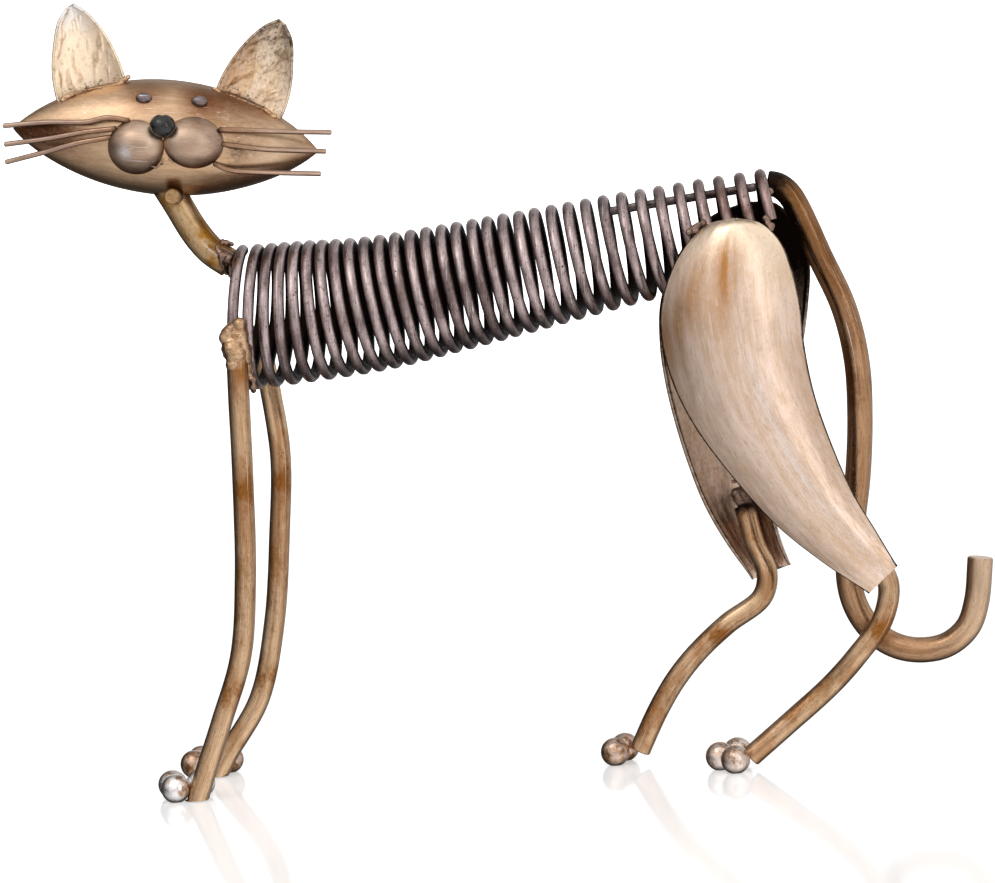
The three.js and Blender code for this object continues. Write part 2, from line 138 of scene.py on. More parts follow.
class Graph:
    """A node tree that is filled by expressions."""

    def __init__(self, tree: bpy.types.NodeTree) -> None:
        """Keeps the tree."""
        self.tree = tree

    def node(
        self, kind: str, settings: dict | None = None, inputs: dict | None = None, output: int | str = 0
    ) -> Term | None:
        """Adds one node.

        Args:
            kind: The node's type.
            settings: Its properties, set first.
            inputs: Values or links by socket number, name or identifier.
            output: The number or identifier of the output that is returned.

        Returns:
            The output, ready for an expression, or nothing where the node has none.
        """
        made = self.tree.nodes.new(kind)
        for key, value in (settings or {}).items():
            setattr(made, key, value)
        for key, value in (inputs or {}).items():
            self.feed(self.find(made.inputs, key), value)
        return Term(self, self.find(made.outputs, output)) if made.outputs else None

    @staticmethod
    def find(sockets: Sequence[bpy.types.NodeSocket], key: int | str) -> bpy.types.NodeSocket:
        """Finds a socket by number, identifier or name."""
        if isinstance(key, int):
            return sockets[key]
        named = [s for s in sockets if s.identifier == key] or [s for s in sockets if s.name == key]
        return named[0]

    def feed(self, socket: bpy.types.NodeSocket, value: object) -> None:
        """Links a term to a socket, or sets a plain value on it."""
        if isinstance(value, Term):
            self.tree.links.new(value.socket, socket)
        else:
            socket.default_value = value

    def vector(self, operation: str, *values: object, output: int | str = 0) -> Term:
        """Adds one Vector Math node."""
        return self.node("ShaderNodeVectorMath", {"operation": operation}, dict(enumerate(values)), output)

    def ramp(self, value: Term, low: float, high: float) -> Term:
        """Runs smoothly from 0 at low to 1 at high; low may be the larger."""
        return self.node(
            "ShaderNodeMapRange",
            {"interpolation_type": "SMOOTHSTEP"},
            {"Value": value, "From Min": low, "From Max": high},
        )

    def blend(self, factor: Term | float, first: object, second: object, mode: str = "MIX") -> Term:
        """Mixes two colours."""
        return self.node(
            "ShaderNodeMix",
            {"data_type": "RGBA", "blend_type": mode},
            {"Factor_Float": factor, "A_Color": first, "B_Color": second},
            "Result_Color",
        )

    def noise(
        self, place: Term, stretch: Point, detail: float = 3.0, rough: float = 0.5, seed: float = 0.0
    ) -> Term:
        """Adds a noise over a place in millimetres.

        Args:
            place: The place.
            stretch: How many waves there are in a millimetre along each axis.
            detail: Octaves.
            rough: How strong the finer octaves are.
            seed: Moves the pattern.

        Returns:
            The noise, around 0.5.
        """
        scaled = self.vector("MULTIPLY_ADD", place, stretch, (seed, seed * 1.7, seed * 0.6))
        return self.node(
            "ShaderNodeTexNoise", {}, {"Vector": scaled, "Scale": 1.0, "Detail": detail, "Roughness": rough}
        )


# Finishes


@dataclass(frozen=True)
class Steel:
    """One finish of the steel: its brushed colours, the brown of its temper tints, which also serves as
    painted shade, and how rough it is.
    """

    name: str
    slot: str
    body: str
    pale: str
    brown: str
    roughness: float = 0.34
    streak: float = 0.5
    mottle: float = 0.45
    pitting: float = 0.3
    bump: float = 0.5
    seed: float = 0.0
    # Next: a brown for temper tints and a near black for burns, both also used as painted shade.
    heat_and_shade: str = "8a5a2c"
    soot_and_shade: str = "1d130e"
    silver: str = "d9d6d6"

    def material(self) -> bpy.types.Material:
        """Builds the finish, on the piece's own "grain" place and its painted masks.

        Returns:
            The material.
        """
        made = bpy.data.materials.new(self.name)
        made.use_nodes = True
        made.node_tree.nodes.clear()
        g = Graph(made.node_tree)
        place = g.node("ShaderNodeAttribute", {"attribute_name": "grain"}, output="Vector")
        tint, soot_and_shade, bright, pale = (
            g.node("ShaderNodeAttribute", {"attribute_name": mask}, output="Fac")
            for mask in ("tint", "soot_and_shade", "bright", "pale")
        )
        long = g.noise(place, (0.035, 0.55, 0.55), 5.0, 0.6, self.seed)
        fine = g.noise(place, (0.16, 3.4, 3.4), 3.0, 0.6, self.seed + 3)
        cloud = g.noise(place, (0.055, 0.11, 0.11), 4.0, 0.55, self.seed + 7)
        fleck = g.noise(place, (0.75, 0.95, 0.95), 5.0, 0.68, self.seed + 11)
        scratch = g.ramp(g.noise(place, (0.03, 2.1, 2.1), 2.0, 0.5, self.seed + 15), 0.64, 0.7)
        scratch = scratch * g.ramp(cloud, 0.45, 0.6)
        cells = g.vector("MULTIPLY", place, (0.42, 0.5, 0.5))
        hole = g.node("ShaderNodeTexVoronoi", {}, {"Vector": cells, "Scale": 1.0})
        pit = g.ramp(hole, 0.2, 0.1) * g.ramp(fleck, 0.56, 0.64) * self.pitting

        grain = g.ramp(long * 0.6 + fine * 0.4, 0.36, 0.64)
        colour = g.blend(grain * self.streak, linear(self.body), linear(self.pale))
        stain = g.ramp(cloud * 0.7 + fleck * 0.3, 0.47, 0.64) * self.mottle
        colour = g.blend(stain, colour, linear(self.brown))
        # Pale mask: a pale cream laid on as painted highlight on the head, cheeks, near ear and haunch tops.
        colour = g.blend(pale * 0.8, colour, linear("f2dcc0"))
        # Tint mask: temper tint, and painted shade in shadowed places on the head, cheeks, ears, haunches and
        # spring.
        colour = g.blend(g.ramp(tint + (fleck - 0.5) * 0.45, 0.04, 1.0), colour, linear(self.heat_and_shade))
        # Bright mask: silver laid on as painted highlight on the fore cheek, near ear tip, haunch middles and
        # near toes, and along the haunches' streaks.
        colour = g.blend(g.ramp(bright + (fine - 0.5) * 0.6, 0.1, 0.95), colour, linear(self.silver))
        colour = g.blend(scratch * 0.5, colour, linear(self.silver))
        # Dark mask: burns at welds and spots, and painted shade on the spring's inner side, inside the
        # haunches and ears, in the head's hollow and in the cheeks' creases.
        colour = g.blend(g.ramp(soot_and_shade + (fleck - 0.5) * 0.7, 0.15, 0.9), colour, linear(self.soot_and_shade))
        grime = g.ramp(fleck * 0.7 + fine * 0.3, 0.49, 0.36) * self.pitting
        colour = g.blend(grime * 0.7, colour, linear(self.soot_and_shade), "MULTIPLY")
        colour = g.blend(pit, colour, linear("20140c"))
        rough = self.roughness + (fine - 0.5) * 0.18 + stain * 0.06 + soot_and_shade * 0.2 + pit * 0.3 - bright * 0.05
        height = (fine - 0.5) * 0.035 + (long - 0.5) * 0.05 + (fleck - 0.5) * 0.06 - pit * 0.22
        height = height + soot_and_shade * fleck * 0.22 - scratch * 0.02
        bump = g.node(
            "ShaderNodeBump", {}, {"Strength": self.bump, "Distance": MM, "Height": height}, output="Normal"
        )
        shader = g.node(
            "ShaderNodeBsdfPrincipled",
            {},
            {"Base Color": colour, "Metallic": 1.0, "Roughness": rough, "Normal": bump},
        )
        g.node("ShaderNodeOutputMaterial", {}, {"Surface": shader})
        return made


@dataclass(frozen=True)
class Gloss:
    """A thick gloss lacquer over steel."""

    name: str
    slot: str
    colour: str
    roughness: float = 0.14

    def material(self) -> bpy.types.Material:
        """Builds the lacquer with a faint unevenness.

        Returns:
            The material.
        """
        made = bpy.data.materials.new(self.name)
        made.use_nodes = True
        made.node_tree.nodes.clear()
        g = Graph(made.node_tree)
        place = g.vector("MULTIPLY", g.node("ShaderNodeTexCoord", output="Object"), (1 / MM, 1 / MM, 1 / MM))
        uneven = g.noise(place, (0.5, 0.5, 0.5), 3.0)
        dust = g.noise(place, (2.4, 2.4, 2.4), 3.0)
        bump = g.node(
            "ShaderNodeBump",
            {},
            {"Strength": 0.5, "Distance": MM, "Height": (uneven - 0.5) * 0.25},
            output="Normal",
        )
        colour = g.blend(g.ramp(dust, 0.58, 0.74) * 0.35, linear(self.colour), linear("4a3a30"))
        shader = g.node(
            "ShaderNodeBsdfPrincipled",
            {},
            {
                "Base Color": colour,
                "Roughness": self.roughness + (dust - 0.5) * 0.12,
                "Specular IOR Level": 0.35,
                "Coat Weight": 0.25,
                "Coat Roughness": 0.06,
                "Normal": bump,
            },
        )
        g.node("ShaderNodeOutputMaterial", {}, {"Surface": shader})
        return made


class Finish(Enum):
    """The finishes on the cat."""

    SHELL = Steel(
        "champagne_shell",
        "head",
        body="a48466", pale="cdad8e", brown="8a684a", roughness=0.36, streak=0.6, mottle=0.3, pitting=0.15,
        bump=0.3, seed=1, heat_and_shade="64381c", soot_and_shade="2a1a10",
    )
    CHEEK = Steel(
        "champagne_cheek",
        "cheek",
        body="9c826f", pale="bda692", brown="82664f", roughness=0.38, streak=0.5, mottle=0.3, pitting=0.1,
        bump=0.3, seed=2, heat_and_shade="6a4429",
    )
    EYE = Steel(
        "blued_bead",
        "eye",
        body="6c5e5e", pale="a49494", brown="3a2b28", roughness=0.36, streak=0.5, mottle=0.4, pitting=0.1,
        bump=0.5, seed=3,
    )
    EAR = Steel(
        "hammered_leaf",
        "ear",
        body="e6cba8", pale="faeee2", brown="c2935f", roughness=0.38, streak=0.6, mottle=0.35,
        pitting=0.25, bump=0.5, seed=4, heat_and_shade="9a6432", soot_and_shade="2a1a10",
    )
    WHISKER = Steel(
        "drawn_wire",
        "whisker",
        body="957a68", pale="c6ac9e", brown="70503c", roughness=0.3, streak=0.6, mottle=0.3, pitting=0.1,
        bump=0.3, seed=5, heat_and_shade="7a5228",
    )
    NECK = Steel(
        "ochre_rod",
        "neck",
        body="a5865f", pale="d0b494", brown="6c4818", roughness=0.34, streak=0.5, mottle=1.0, pitting=0.6,
        bump=0.9, seed=6, heat_and_shade="8c5f1e",
    )
    SPRING = Steel(
        "oiled_spring_wire",
        "spring",
        body="8c7b7a", pale="c6b4b2", brown="4c3a36", roughness=0.29, streak=0.7, mottle=0.75, pitting=1.0,
        bump=1.0, seed=7, heat_and_shade="6e4834",
    )
    LEG = Steel(
        "gold_brown_rod",
        "leg",
        body="a38060", pale="d2b494", brown="7d4f22", roughness=0.28, streak=0.7, mottle=1.0, pitting=0.45,
        bump=0.8, seed=8, heat_and_shade="84501f",
    )
    TAIL = Steel(
        "brown_rod",
        "tail",
        body="90694a", pale="c09e7e", brown="683f20", roughness=0.28, streak=0.6, mottle=0.8, pitting=0.45,
        bump=0.7, seed=9, heat_and_shade="68421f",
    )
    HAUNCH = Steel(
        "champagne_leaf",
        "haunch",
        body="c4a991", pale="dec8bc", brown="ae855c", roughness=0.35, streak=0.7, mottle=0.35,
        pitting=0.25, bump=0.4, seed=10, heat_and_shade="a06c34",
    )
    TOE = Steel(
        "polished_ball",
        "toe",
        body="c2a894", pale="e8d8d2", brown="93704f", roughness=0.28, streak=0.5, mottle=0.6, pitting=0.5,
        bump=0.6, seed=11, heat_and_shade="80562f",
    )
    WELD = Steel(
        "weld_metal",
        "leg",
        body="a58262", pale="d8b898", brown="5c3a1e", roughness=0.32, streak=0.5, mottle=0.8, pitting=0.8,
        bump=0.7, seed=12, heat_and_shade="8a5a2e",
    )
    DARK_WELD = Steel(
        "burnt_weld",
        "spring",
        body="7a6254", pale="a48c80", brown="33221a", roughness=0.36, streak=0.4, mottle=0.7, pitting=0.8,
        bump=0.7, seed=13,
    )
    NOSE = Gloss("black_lacquer", "nose", "020101")

    def made(self) -> bpy.types.Material:
        """Gives this finish's material, building it once."""
        return bpy.data.materials.get(self.value.name) or self.value.material()


# Meshes


@dataclass
class Skin:
    """A surface in millimetres, with the place its grain is read from and its painted masks."""

    points: np.ndarray
    faces: list[tuple[int, ...]]
    grain: np.ndarray
    masks: dict[str, np.ndarray] = field(default_factory=dict)

    def face_out(self) -> None:
        """Turns a closed surface the right way out."""
        volume = 0.0
        for face in self.faces:
            a = self.points[face[0]]
            for b, c in zip(face[1:], face[2:]):
                volume += float(np.dot(a, np.cross(self.points[b], self.points[c])))
        if volume < 0:
            self.faces = [face[::-1] for face in self.faces]

    def piece(self, name: str, finish: Finish, nodes: Sequence[str], sharp: float = 40.0) -> bpy.types.Object:
        """Makes the surface a finished piece of the cat.

        Args:
            name: The piece's name.
            finish: Its finish.
            nodes: The solids that it stands for.
            sharp: The angle in degrees past which an edge stays crisp.

        Returns:
            The piece.
        """
        mesh = bpy.data.meshes.new(name)
        mesh.from_pydata((self.points * MM).tolist(), [], self.faces)
        mesh.attributes.new("grain", "FLOAT_VECTOR", "POINT").data.foreach_set(
            "vector", self.grain.astype(np.float32).ravel()
        )
        for mask, values in self.masks.items():
            mesh.attributes.new(mask, "FLOAT", "POINT").data.foreach_set("value", values.astype(np.float32))
        mesh.shade_smooth()
        mesh.set_sharp_from_angle(angle=math.radians(sharp))
        mesh.materials.append(finish.made())
        made = bpy.data.objects.new(name, mesh)
        bpy.context.scene.collection.objects.link(made)
        return placed(made, finish, nodes)


def placed(made: bpy.types.Object, finish: Finish, nodes: Sequence[str]) -> bpy.types.Object:
    """Fixes a piece to the cat, hides the solids that it stands for and logs it.

    Args:
        made: The piece.
        finish: Its finish.
        nodes: The solids that it stands for.

    Returns:
        The piece.
    """
    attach(made, BODY)
    if nodes:
        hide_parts(*nodes)
    LOG.info("%s: %d faces, %s", made.name, len(made.data.polygons), finish.value.name)
    return made


@dataclass(frozen=True)
class Route:
    """A smooth curve through points, which leaves its ends straight."""

    points: np.ndarray

    def at(self, shares: np.ndarray) -> np.ndarray:
        """Gives the places at shares of the way, counted in points."""
        p = self.points
        count = len(p) - 1
        before, after = 2 * p[0] - p[1], 2 * p[-1] - p[-2]
        padded = np.vstack([before, p, after])
        spot = np.clip(shares, 0, 1) * count
        first = np.minimum(spot.astype(int), count - 1)
        t = (spot - first)[:, None]
        p0, p1, p2, p3 = (padded[first + k] for k in range(4))
        pairs = ((p0, p1), (p1, p2), (p2, p3))
        d0, d1, d2 = (np.sqrt(np.linalg.norm(b - a, axis=1))[:, None] for a, b in pairs)
        leave = ((p1 - p0) / d0 - (p2 - p0) / (d0 + d1) + (p2 - p1) / d1) * d1
        arrive = ((p2 - p1) / d1 - (p3 - p1) / (d1 + d2) + (p3 - p2) / d2) * d1
        cubic = 2 * p1 - 2 * p2 + leave + arrive
        square = -3 * p1 + 3 * p2 - 2 * leave - arrive
        return cubic * t**3 + square * t**2 + leave * t + p1

    def even(self, step: float) -> np.ndarray:
        """Gives places an even step apart along the curve."""
        dense = self.at(np.linspace(0, 1, 60 * len(self.points)))
        run = np.concatenate([[0], np.cumsum(np.linalg.norm(np.diff(dense, axis=0), axis=1))])
        stops = np.linspace(0, run[-1], max(3, round(run[-1] / step) + 1))
        return np.column_stack([np.interp(stops, run, dense[:, k]) for k in range(3)])


def route(points: Sequence[Point]) -> Route:
    """Makes a route from plain points."""
    return Route(np.array(points, float))


def rod(
    path: np.ndarray,
    diameter: float,
    sides: int = 28,
    chamfer: float = 0.3,
    waver: float = 0.012,
    masks: Callable[[np.ndarray, np.ndarray], dict[str, np.ndarray]] | None = None,
) -> Skin:
    """Sweeps a round rod along a path and cuts it square at both ends.

    Args:
        path: Evenly spaced places on the rod's middle line.
        diameter: The rod's diameter.
        sides: Faces round the rod.
        chamfer: How far the cut's edge is broken.
        waver: The share by which the diameter varies.
        masks: Gives the painted masks from the places and the distance along the rod.

    Returns:
        The rod's surface.
    """
    tangent = np.gradient(path, axis=0)
    tangent /= np.linalg.norm(tangent, axis=1)[:, None]
    aside = np.array([0, 0, 1.0]) if abs(tangent[:, 1].mean()) > 0.8 else np.array([0, 1.0, 0])
    across = aside - tangent * (tangent @ aside)[:, None]
    across /= np.linalg.norm(across, axis=1)[:, None]
    over = np.cross(tangent, across)
    run = np.concatenate([[0], np.cumsum(np.linalg.norm(np.diff(path, axis=0), axis=1))])
    swell = [1 + waver * noise.noise(Vector((s * 0.09, diameter, path[0][0]))) for s in run]
    radius = np.array(swell) * diameter / 2

    end = chamfer * np.array([-1.0, 1.0])
    inner_start, inner_end = path[0] - tangent[0] * end[0], path[-1] - tangent[-1] * end[1]
    middles = np.vstack([path[0], inner_start, path[1:-1], inner_end, path[-1]])
    frames = [np.vstack([f[0], f[0], f[1:-1], f[-1], f[-1]]) for f in (across, over)]
    radii = np.concatenate([[radius[0] - chamfer], radius, [radius[-1] - chamfer]])
    runs = np.concatenate([[0], [chamfer], run[1:-1], [run[-1] - chamfer], [run[-1]]])

    angle = np.linspace(0, 2 * math.pi, sides, endpoint=False)
    cos, sin = np.cos(angle), np.sin(angle)
    rings = len(middles)
    ring = frames[0][:, None] * cos[None, :, None] + frames[1][:, None] * sin[None, :, None]
    points = middles[:, None] + radii[:, None, None] * ring
    flat = np.stack(np.broadcast_arrays(runs[:, None], radii[:, None] * cos, radii[:, None] * sin), axis=2)
    points = np.vstack([points.reshape(-1, 3), middles[0], middles[-1]])
    grain = np.vstack([flat.reshape(-1, 3), [runs[0], 0, 0], [runs[-1], 0, 0]])
    faces: list[tuple[int, ...]] = []
    for i in range(rings - 1):
        for j in range(sides):
            k = (j + 1) % sides
            faces.append((i * sides + j, i * sides + k, (i + 1) * sides + k, (i + 1) * sides + j))
    last = (rings - 1) * sides
    for j in range(sides):
        k = (j + 1) % sides
        faces.append((rings * sides, k, j))
        faces.append((rings * sides + 1, last + j, last + k))
    skin = Skin(points, faces, grain, masks(points, grain[:, 0]) if masks else {})
    skin.face_out()
    return skin


def near(points: np.ndarray, spot: Point, reach: float) -> np.ndarray:
    """Gives a mask that falls from one at a spot to nothing at its reach."""
    away = np.linalg.norm(points - np.array(spot), axis=1)
    return np.clip(1 - away / reach, 0, 1)


def smooth(value: np.ndarray, low: float, high: float) -> np.ndarray:
    """Runs smoothly from 0 at low to 1 at high."""
    t = np.clip((value - low) / (high - low), 0, 1)
    return t * t * (3 - 2 * t)


def ripple(points: np.ndarray, stretch: Point, seed: float = 0.0) -> np.ndarray:
    """Gives a gentle noise, from about -1 to 1, over stretched points."""
    scaled = points * np.array(stretch) + seed
    return np.array([noise.fractal(Vector(p), 0.6, 2.1, 4) for p in scaled])


@dataclass(frozen=True)
class Leaf:
    """A formed sheet between two edges, domed along y, with rounded edges."""

    first: Route
    second: Route
    dome: Callable[[np.ndarray, np.ndarray], np.ndarray]
    wall: float
    relief: Callable[[np.ndarray, np.ndarray], np.ndarray]
    masks: Callable[[np.ndarray, np.ndarray, np.ndarray, np.ndarray], dict[str, np.ndarray]]
    rows: int = 150
    columns: int = 56

    def face(self, u: np.ndarray, v: np.ndarray) -> np.ndarray:
        """Gives the outer face at shares u along and v across, before its relief."""
        shape = u.shape
        a, b = self.first.at(u.ravel()), self.second.at(u.ravel())
        place = a + (b - a) * v.ravel()[:, None]
        place[:, 1] += self.dome(u.ravel(), 2 * v.ravel() - 1)
        return place.reshape(*shape, 3)

    def skin(self) -> Skin:
        """Builds the sheet as closed loops round its section.

        Returns:
            The sheet's surface.
        """
        u = np.linspace(0, 1, self.rows + 1)
        v = 0.5 - 0.5 * np.cos(np.linspace(0, math.pi, self.columns + 1))
        uu, vv = np.meshgrid(u, v, indexing="ij")
        d = 0.01
        outer = self.face(uu, vv)
        along = self.face(np.minimum(uu + d, 1), vv) - self.face(np.maximum(uu - d, 0), vv)
        across = self.face(uu, np.minimum(vv + d, 1)) - self.face(uu, np.maximum(vv - d, 0))
        normal = np.cross(along, across)
        normal /= np.linalg.norm(normal, axis=2)[..., None]
        rise = self.relief(uu.ravel(), 2 * vv.ravel() - 1).reshape(uu.shape)
        side = 1.0 if self.wall > 0 else -1.0
        inner = outer + normal * self.wall - normal * (side * rise)[..., None]
        outer = outer - normal * (side * rise)[..., None]
        out = across / np.linalg.norm(across, axis=2)[..., None]
        loops = [outer]
        coords = [vv]
        for edge, direction in ((-1, 1.0), (0, -1.0)):
            middle = (outer[:, edge] + inner[:, edge]) / 2
            half = (outer[:, edge] - inner[:, edge]) / 2
            turns = np.linspace(0, math.pi, 7)[1:-1]
            bulge = out[:, edge] * direction * abs(self.wall) * 0.35
            if edge == 0:
                half = -half
            rounded = np.stack([middle + half * math.cos(t) + bulge * math.sin(t) for t in turns], axis=1)
            loops.append(rounded)
            coords.append(np.repeat(vv[:, edge][:, None], len(turns), axis=1))
            if edge == -1:
                loops.append(inner[:, ::-1])
                coords.append(vv[:, ::-1])
        points = np.concatenate(loops, axis=1)
        across_share = np.concatenate(coords, axis=1)
        inside = np.zeros(points.shape[1])
        inside[self.columns + 6 : 2 * self.columns + 7] = 1
        rows, ring = points.shape[:2]
        faces: list[tuple[int, ...]] = []
        for i in range(rows - 1):
            for j in range(ring):
                k = (j + 1) % ring
                faces.append((i * ring + j, i * ring + k, (i + 1) * ring + k, (i + 1) * ring + j))
        for row in (0, rows - 1):
            base = row * ring
            for j in range(self.columns):
                opposite = 2 * self.columns + 6 - j
                quad = (base + j, base + j + 1, base + opposite - 1, base + opposite)
                faces.append(quad if row else quad[::-1])
            for start, stop in ((self.columns, self.columns + 6), (2 * self.columns + 6, ring)):
                rim = [base + (k % ring) for k in range(start, stop + 1)]
                faces.append(tuple(rim) if row else tuple(rim[::-1]))
        flat = points.reshape(-1, 3)
        along_share = np.repeat(u, ring)
        v_flat = 2 * across_share.ravel() - 1
        middle_line = self.face(u, np.full_like(u, 0.5))
        run = np.concatenate([[0], np.cumsum(np.linalg.norm(np.diff(middle_line, axis=0), axis=1))])
        width = np.linalg.norm(self.face(u, np.ones_like(u)) - self.face(u, np.zeros_like(u)), axis=1)
        grain = np.column_stack([np.repeat(run, ring), v_flat * np.repeat(width, ring) / 2, flat[:, 1]])
        masks = self.masks(flat, along_share, v_flat, np.tile(inside, rows))
        skin = Skin(flat, faces, grain, masks)
        skin.face_out()
        return skin


# Repeated pieces, made by geometry nodes


class Maker:
    """A geometry node tree with named inputs."""

    def __init__(self, name: str, inputs: dict[str, tuple[str, object]]) -> None:
        """Starts the tree.

        Args:
            name: The tree's name.
            inputs: Each input's socket type and value, by name.
        """
        self.tree = bpy.data.node_groups.new(name, "GeometryNodeTree")
        self.tree.interface.new_socket("Geometry", in_out="INPUT", socket_type="NodeSocketGeometry")
        self.values: dict[str, object] = {}
        for label, (kind, value) in inputs.items():
            socket = self.tree.interface.new_socket(label, in_out="INPUT", socket_type=kind)
            self.values[socket.identifier] = value
        self.tree.interface.new_socket("Geometry", in_out="OUTPUT", socket_type="NodeSocketGeometry")
        self.graph = Graph(self.tree)
        self.entry = self.tree.nodes.new("NodeGroupInput")

    def given(self, label: str) -> Term:
        """Gives the tree's input of that name."""
        return Term(self.graph, self.graph.find(self.entry.outputs, label))

    def run(self, name: str, start: bpy.types.Mesh, geometry: Term) -> bpy.types.Object:
        """Ends the tree, runs it on a mesh and keeps the result as a plain mesh.

        Args:
            name: The finished piece's name.
            start: The mesh that goes in.
            geometry: The geometry that the tree has made.

        Returns:
            The object with the finished mesh.
        """
        g = self.graph
        real = g.node("GeometryNodeRealizeInstances", {}, {"Geometry": geometry})
        shaded = g.node("GeometryNodeSetShadeSmooth", {}, {"Geometry": real})
        finish = self.given("Finish")
        dressed = g.node("GeometryNodeSetMaterial", {}, {"Geometry": shaded, "Material": finish})
        self.tree.links.new(dressed.socket, self.tree.nodes.new("NodeGroupOutput").inputs[0])
        made = bpy.data.objects.new(name, start)
        bpy.context.scene.collection.objects.link(made)
        modifier = made.modifiers.new(name, "NODES")
        modifier.node_group = self.tree
        for identifier, value in self.values.items():
            modifier[identifier] = value
        bpy.context.view_layer.update()
        result = bpy.data.meshes.new_from_object(made.evaluated_get(bpy.context.evaluated_depsgraph_get()))
        made.modifiers.clear()
        made.data = result
        result.name = name
        return made


def points_mesh(
    name: str, paths: Sequence[Sequence[Point]], sizes: Sequence[float] | None = None
) -> bpy.types.Mesh:
    """Makes a mesh of loose paths for a node tree to start from.

    Args:
        name: The mesh's name.
        paths: Each path's points in millimetres.
        sizes: A size for each path, kept on its points.

    Returns:
        The mesh.
    """
    mesh = bpy.data.meshes.new(name)
    points, edges, values = [], [], []
    for n, path in enumerate(paths):
        edges += [(len(points) + i, len(points) + i + 1) for i in range(len(path) - 1)]
        points += [tuple(c * MM for c in p) for p in path]
        values += [sizes[n] * MM if sizes else 0.0] * len(path)
    mesh.from_pydata(points, edges, [])
    mesh.attributes.new("size", "FLOAT", "POINT").data.foreach_set("value", values)
    return mesh


@dataclass
class WeldSet:
    """Runs of weld metal: each run is a row of fused droplets along a path."""

    name: str
    finish: Finish
    paths: list[list[Point]]
    sizes: list[float]
    seed: int = 3

    def build(self) -> None:
        """Lays the droplets along the paths and fuses them."""
        maker = Maker(
            self.name,
            {
                "Spacing": ("NodeSocketFloat", 0.45 * MM),
                "Smallest": ("NodeSocketFloat", 0.7),
                "Largest": ("NodeSocketFloat", 1.05),
                "Scatter": ("NodeSocketFloat", 0.34),
                "Grid": ("NodeSocketFloat", 0.2 * MM),
                "Softening": ("NodeSocketInt", 5),
                "Seed": ("NodeSocketInt", self.seed),
                "Finish": ("NodeSocketMaterial", self.finish.made()),
            },
        )
        g = maker.graph
        size = g.node("GeometryNodeInputNamedAttribute", {"data_type": "FLOAT"}, {"Name": "size"})
        curve = g.node("GeometryNodeMeshToCurve", {}, {"Mesh": maker.given("Geometry")})
        dotted = g.node(
            "GeometryNodeResampleCurve",
            {"mode": "LENGTH"},
            {"Curve": curve, "Length": maker.given("Spacing")},
        )
        shift = g.node(
            "FunctionNodeRandomValue",
            {"data_type": "FLOAT_VECTOR"},
            {"Min": (-1, -1, -1), "Max": (1, 1, 1), "Seed": maker.given("Seed")},
        )
        spread = g.vector("MULTIPLY", shift, self._triple(g, size * maker.given("Scatter")))
        strewn = g.node("GeometryNodeSetPosition", {}, {"Geometry": dotted, "Offset": spread})
        ball = g.node("GeometryNodeMeshIcoSphere", {}, {"Radius": 1.0, "Subdivisions": 2})
        grown = g.node(
            "FunctionNodeRandomValue",
            {"data_type": "FLOAT"},
            {
                "Min_001": maker.given("Smallest"),
                "Max_001": maker.given("Largest"),
                "Seed": maker.given("Seed"),
            },
            "Value_001",
        )
        drops = g.node(
            "GeometryNodeInstanceOnPoints",
            {},
            {"Points": strewn, "Instance": ball, "Scale": self._triple(g, grown * size)},
        )
        real = g.node("GeometryNodeRealizeInstances", {}, {"Geometry": drops})
        cloud = g.node(
            "GeometryNodeMeshToVolume",
            {"resolution_mode": "VOXEL_SIZE"},
            {"Mesh": real, "Voxel Size": maker.given("Grid"), "Interior Band Width": 1.0 * MM},
        )
        fused = g.node(
            "GeometryNodeVolumeToMesh",
            {"resolution_mode": "VOXEL_SIZE"},
            {"Volume": cloud, "Voxel Size": maker.given("Grid"), "Threshold": 0.1},
        )
        place = g.node("GeometryNodeInputPosition")
        soft = g.node(
            "GeometryNodeBlurAttribute",
            {"data_type": "FLOAT_VECTOR"},
            {"Value": place, "Iterations": maker.given("Softening")},
            "Value",
        )
        eased = g.node("GeometryNodeSetPosition", {}, {"Geometry": fused, "Position": soft})
        made = maker.run(self.name, points_mesh(self.name, self.paths, self.sizes), eased)
        count = len(made.data.vertices)
        spots = np.zeros(count * 3, np.float32)
        made.data.vertices.foreach_get("co", spots)
        made.data.attributes.new("grain", "FLOAT_VECTOR", "POINT").data.foreach_set("vector", spots / MM)
        placed(made, self.finish, [])

    @staticmethod
    def _triple(g: Graph, value: Term) -> Term:
        """Makes one number a vector of three."""
        return g.node("ShaderNodeCombineXYZ", {}, {"X": value, "Y": value, "Z": value})


# Trunk


